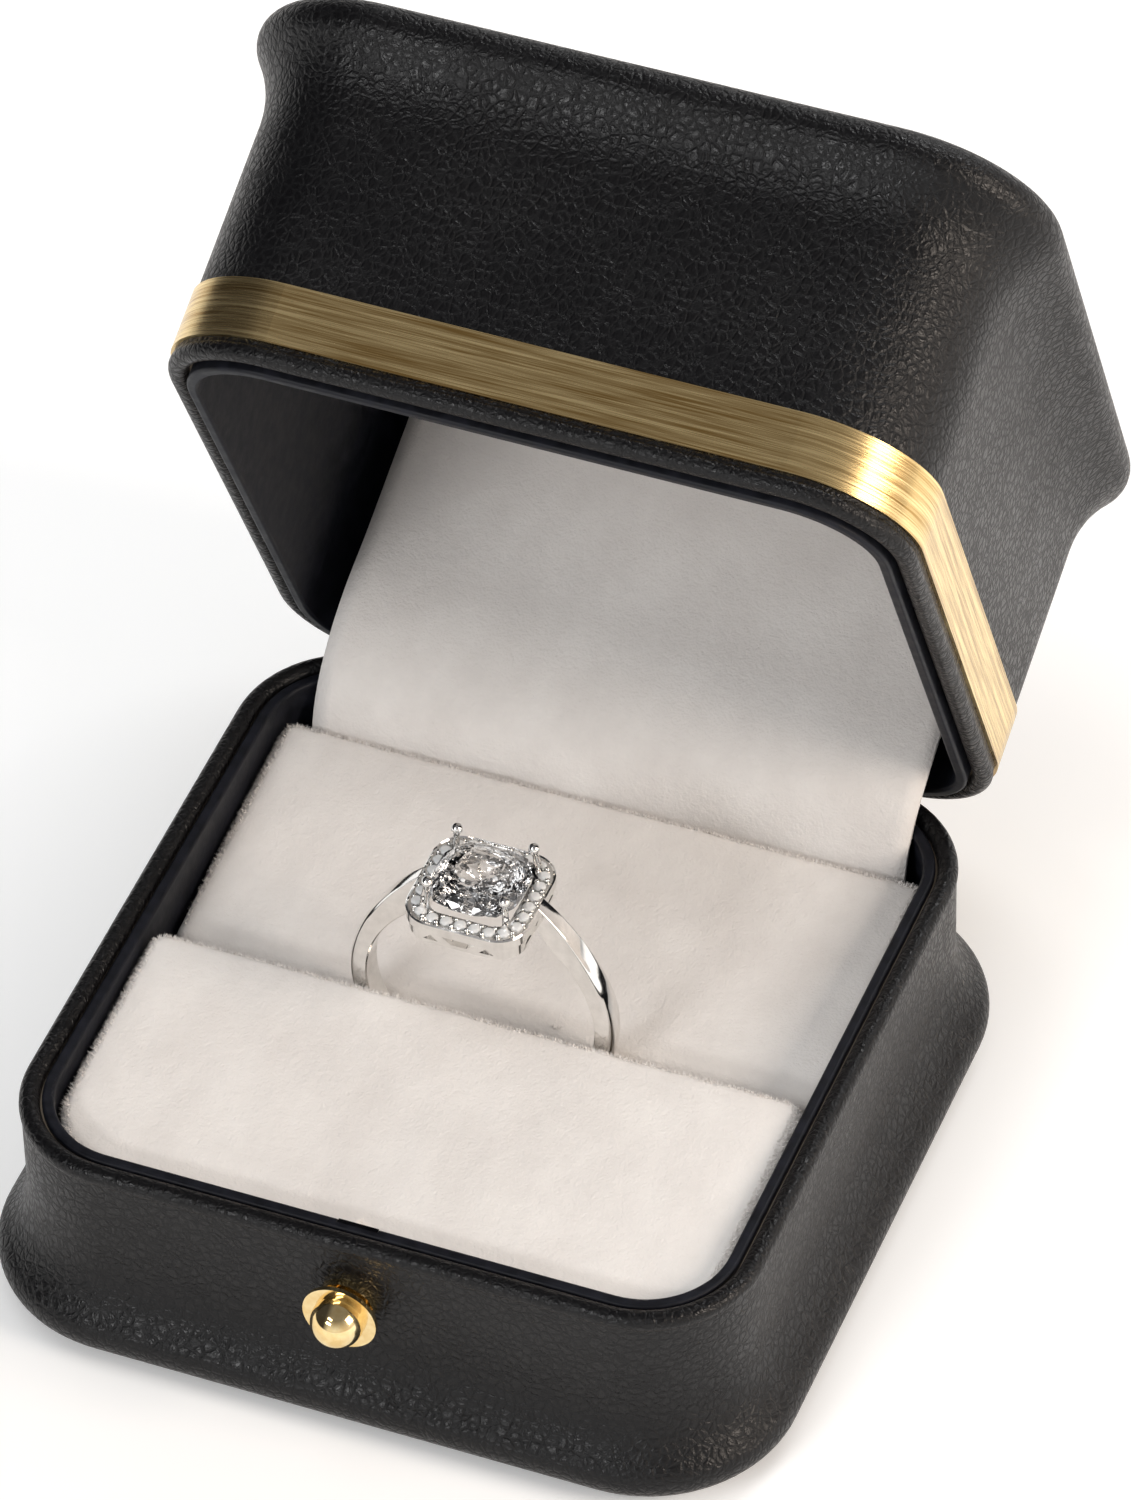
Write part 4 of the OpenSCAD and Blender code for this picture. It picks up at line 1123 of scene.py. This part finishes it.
@dataclass
class Studio:
    """Floor, lights, surroundings and the camera."""

    eye: Vector = field(default_factory=lambda: Vector((0.19328, -0.44780, 0.52237)))
    yaw: float = math.radians(22.684)
    pitch: float = math.radians(44.72)
    roll: float = math.radians(-1.8205)
    focal_pixels: float = 9914.65
    image_height: float = 1500.0
    sensor: float = 36.0
    floor_glow: float = 0.16
    floor_reach: float = 3.0

    def camera(self) -> None:
        """Adds the camera and makes it the scene's."""
        back = Vector((math.sin(self.yaw) * math.cos(self.pitch), -math.cos(self.yaw) * math.cos(self.pitch),
                       math.sin(self.pitch)))
        right = Vector((math.cos(self.yaw), math.sin(self.yaw), 0))
        up = back.cross(right)
        side = math.cos(self.roll) * right + math.sin(self.roll) * up
        above = -math.sin(self.roll) * right + math.cos(self.roll) * up
        data = bpy.data.cameras.new("camera")
        data.sensor_width = self.sensor
        data.sensor_fit = "AUTO"
        data.lens = self.focal_pixels / self.image_height * self.sensor
        data.clip_start = 0.01
        camera = link("camera", data)
        turn = Matrix((side, above, back)).transposed()
        camera.matrix_world = Matrix.Translation(self.eye) @ turn.to_4x4()
        bpy.context.scene.camera = camera

    def lamp(self, name: str, place: tuple[float, float, float], size: Point2, power: float,
             colour: Colour = (1.0, 1.0, 1.0)) -> bpy.types.Object:
        """Adds a soft box that faces the object.

        Args:
            name: the lamp's name.
            place: where it stands.
            size: its width and height.
            power: its power in watts.
            colour: its colour.

        Returns:
            The lamp.
        """
        data = bpy.data.lights.new(name, "AREA")
        data.shape = "RECTANGLE"
        data.size, data.size_y = size
        data.energy = power
        data.color = colour
        lamp = link(name, data)
        lamp.location = place
        lamp.rotation_euler = (Vector((0, 0, 0.03)) - Vector(place)).to_track_quat("-Z", "Y").to_euler()
        return lamp

    def lights(self) -> None:
        """Adds the soft boxes. The one overhead lights the pile, and the metal doesn't mirror it."""
        self.lamp("over_box", (-0.15, -0.1, 0.7), (0.5, 0.5), 0.95).visible_glossy = False
        self.lamp("high_box", (-0.24, -0.55, 0.66), (0.3, 0.1), 0.8)
        self.lamp("front_box", (-0.26, -0.7, 0.42), (0.3, 0.1), 1.7)
        self.lamp("side_box", (0.6, -0.05, 0.35), (0.3, 0.3), 3.3, (1.0, 0.88, 0.77))
        self.lamp("back_box", (0.1, 0.5, 0.6), (0.4, 0.1), 1.9)

    @staticmethod
    def _seen(board: Board) -> tuple[bpy.types.bpy_prop_collection, bpy.types.NodeSocket]:
        """Returns the light path's sockets, and one that is 1 for camera, glossy and transmission rays."""
        path = board.node("LightPath").outputs
        mirrored = board.math("MAXIMUM", path["Is Glossy Ray"], path["Is Transmission Ray"])
        return path, board.math("MAXIMUM", path["Is Camera Ray"], mirrored)

    def surroundings(self) -> None:
        """Adds the world: white to the camera, toned for metal and glass, and an even fill light."""
        world = bpy.data.worlds.new("surroundings")
        board = clear_board(world)
        path, seen = self._seen(board)
        heading = board.node("SeparateXYZ", {0: board.node("TexCoord").outputs["Generated"]}).outputs
        off_camera = board.math("SUBTRACT", 1.0, path["Is Camera Ray"])
        shown: object = rgb((1.0, 1.0, 1.0))
        for axis, low, high, tone in ((0, 0.3, 0.8, (0.86, 0.76, 0.68)), (2, 0.15, 0.75, (0.25, 0.245, 0.25)),
                                      (0, -0.25, -0.6, (0.05, 0.05, 0.055))):
            share = board.math("MULTIPLY", board.span(heading[axis], low, high), off_camera)
            shown = board.mix(share, shown, rgb(tone))
        colour = board.mix(seen, rgb((0.32, 0.32, 0.32)), shown)
        ground = board.node("Background", {"Color": colour, "Strength": 1.0})
        board.node("OutputWorld", {0: ground.outputs[0]})
        bpy.context.scene.world = world

    def floor(self) -> None:
        """Adds a pale floor that keeps the object's shadow."""
        material = bpy.data.materials.new("floor_paper")
        board = clear_board(material)
        tone = board.clouds(board.node("TexCoord").outputs["Object"], 40.0, 2.0)
        colour = board.mix(tone, rgb((0.93, 0.93, 0.93)), rgb((0.96, 0.96, 0.96)))
        glow = board.math("MULTIPLY", self._seen(board)[1], self.floor_glow)
        keys = {"Base Color": colour, "Roughness": 0.9, "Specular IOR Level": 0.1,
                "Emission Color": rgb((1.0, 1.0, 1.0)), "Emission Strength": glow}
        paper = board.node("BsdfPrincipled", keys)
        board.node("OutputMaterial", {"Surface": paper.outputs[0]})
        mesh = bpy.data.meshes.new("floor")
        reach = self.floor_reach
        corners = [(-reach, -reach, 0), (reach, -reach, 0), (reach, reach, 0), (-reach, reach, 0)]
        mesh.from_pydata(corners, [], [(0, 1, 2, 3)])
        floor = link("floor", mesh)
        floor.location.z = -0.2 * MM
        paint(floor, material)

    def build(self) -> None:
        """Sets up the whole studio."""
        self.camera()
        self.lights()
        self.surroundings()
        self.floor()
        bpy.context.scene.view_settings.view_transform = "Standard"


@dataclass
class Wardrobe:
    """Every finish of the object, and the nodes that keep their shape and take one."""

    effects: Effects = field(default_factory=Effects)

    def __post_init__(self) -> None:
        """Builds the finishes."""
        self.velvet = VelvetFinish("off_white_velvet").build(self.effects)
        self.white_gold = MetalFinish("polished_white_gold", (0.9, 0.89, 0.87), (0.78, 0.77, 0.75),
                                      (0.05, 0.14)).build(self.effects)
        self.stone = StoneFinish("clear_stone").build(self.effects)
        self.small_stone = StoneFinish("small_clear_stone", 1500.0, 0.00003, 0.2).build(self.effects)

    def dress(self) -> None:
        """Dresses the carried-over nodes."""
        outfits = (
            (LeatherFinish("black_leather"), ("base_cover", "lid_cover")),
            (CollarFinish("lining_paper"), ("base_liner", "lid_liner")),
            # The band's dark brown second colour paints dark reflection streaks into its brushing
            (MetalFinish("brushed_gold", (1.0, 0.78, 0.4), (0.46, 0.28, 0.09), (0.2, 0.32), Grain.ALONG_BAND,
                         OPEN_ANGLE), ("gold_band",)),
            (MetalFinish("polished_gold"), ("button_bushing", "button_knob")),
            (MetalFinish("stamped_brass", (0.7, 0.55, 0.3), (0.5, 0.36, 0.16), (0.25, 0.4)),
             ("base_hinge_leaf", "lid_hinge_leaf", "base_rivets", "lid_rivets")),
            (MetalFinish("drawn_steel", (0.62, 0.62, 0.64), (0.45, 0.45, 0.47), (0.2, 0.32)),
             ("hinge_pin", "hinge_spring", "button_spring", "lift_wedge", "base_magnet", "lid_magnet")),
            (MetalFinish("blackened_steel", (0.02, 0.02, 0.024), (0.01, 0.01, 0.012), (0.4, 0.55)),
             ("lid_pusher",)),
            (FeltFinish("pressed_felt"), ("bottom_felt",)),
            (FeltFinish("pressed_board", (0.3, 0.24, 0.18), (0.48, 0.4, 0.31), 1500.0),
             ("base_shell", "lid_shell", "pad_platform")),
            (FeltFinish("open_foam", (0.6, 0.54, 0.38), (0.8, 0.75, 0.58), 1800.0), ("lid_foam",)))
        for finish, nodes in outfits:
            dress_nodes(finish.build(self.effects), *nodes)


def main() -> None:
    """Builds every sub-assembly in order."""
    logging.basicConfig(level=logging.INFO, format="%(message)s")
    random.seed(7)
    Studio().build()
    wardrobe = Wardrobe()
    wardrobe.dress()
    velvet = wardrobe.velvet
    front = VelvetPad("front_pad", "pad_front", 5.8 * MM, 1.3 * MM, True, (0.0, 1.05 * MM), 2.0)
    PileFringe("front_pile", 9000, 3).build(front.build(velvet), velvet)
    rear = VelvetPad("rear_pad", "pad_rear", 0.9 * MM, 0.9 * MM, False, (0.3 * MM, 1.9 * MM), 5.0)
    PileFringe("rear_pile", 8000, 4).build(rear.build(velvet), velvet)
    LiningSheet().build(velvet)
    Ring().build(wardrobe.stone, wardrobe.small_stone, wardrobe.white_gold)


if __name__ == "__main__":
    main()
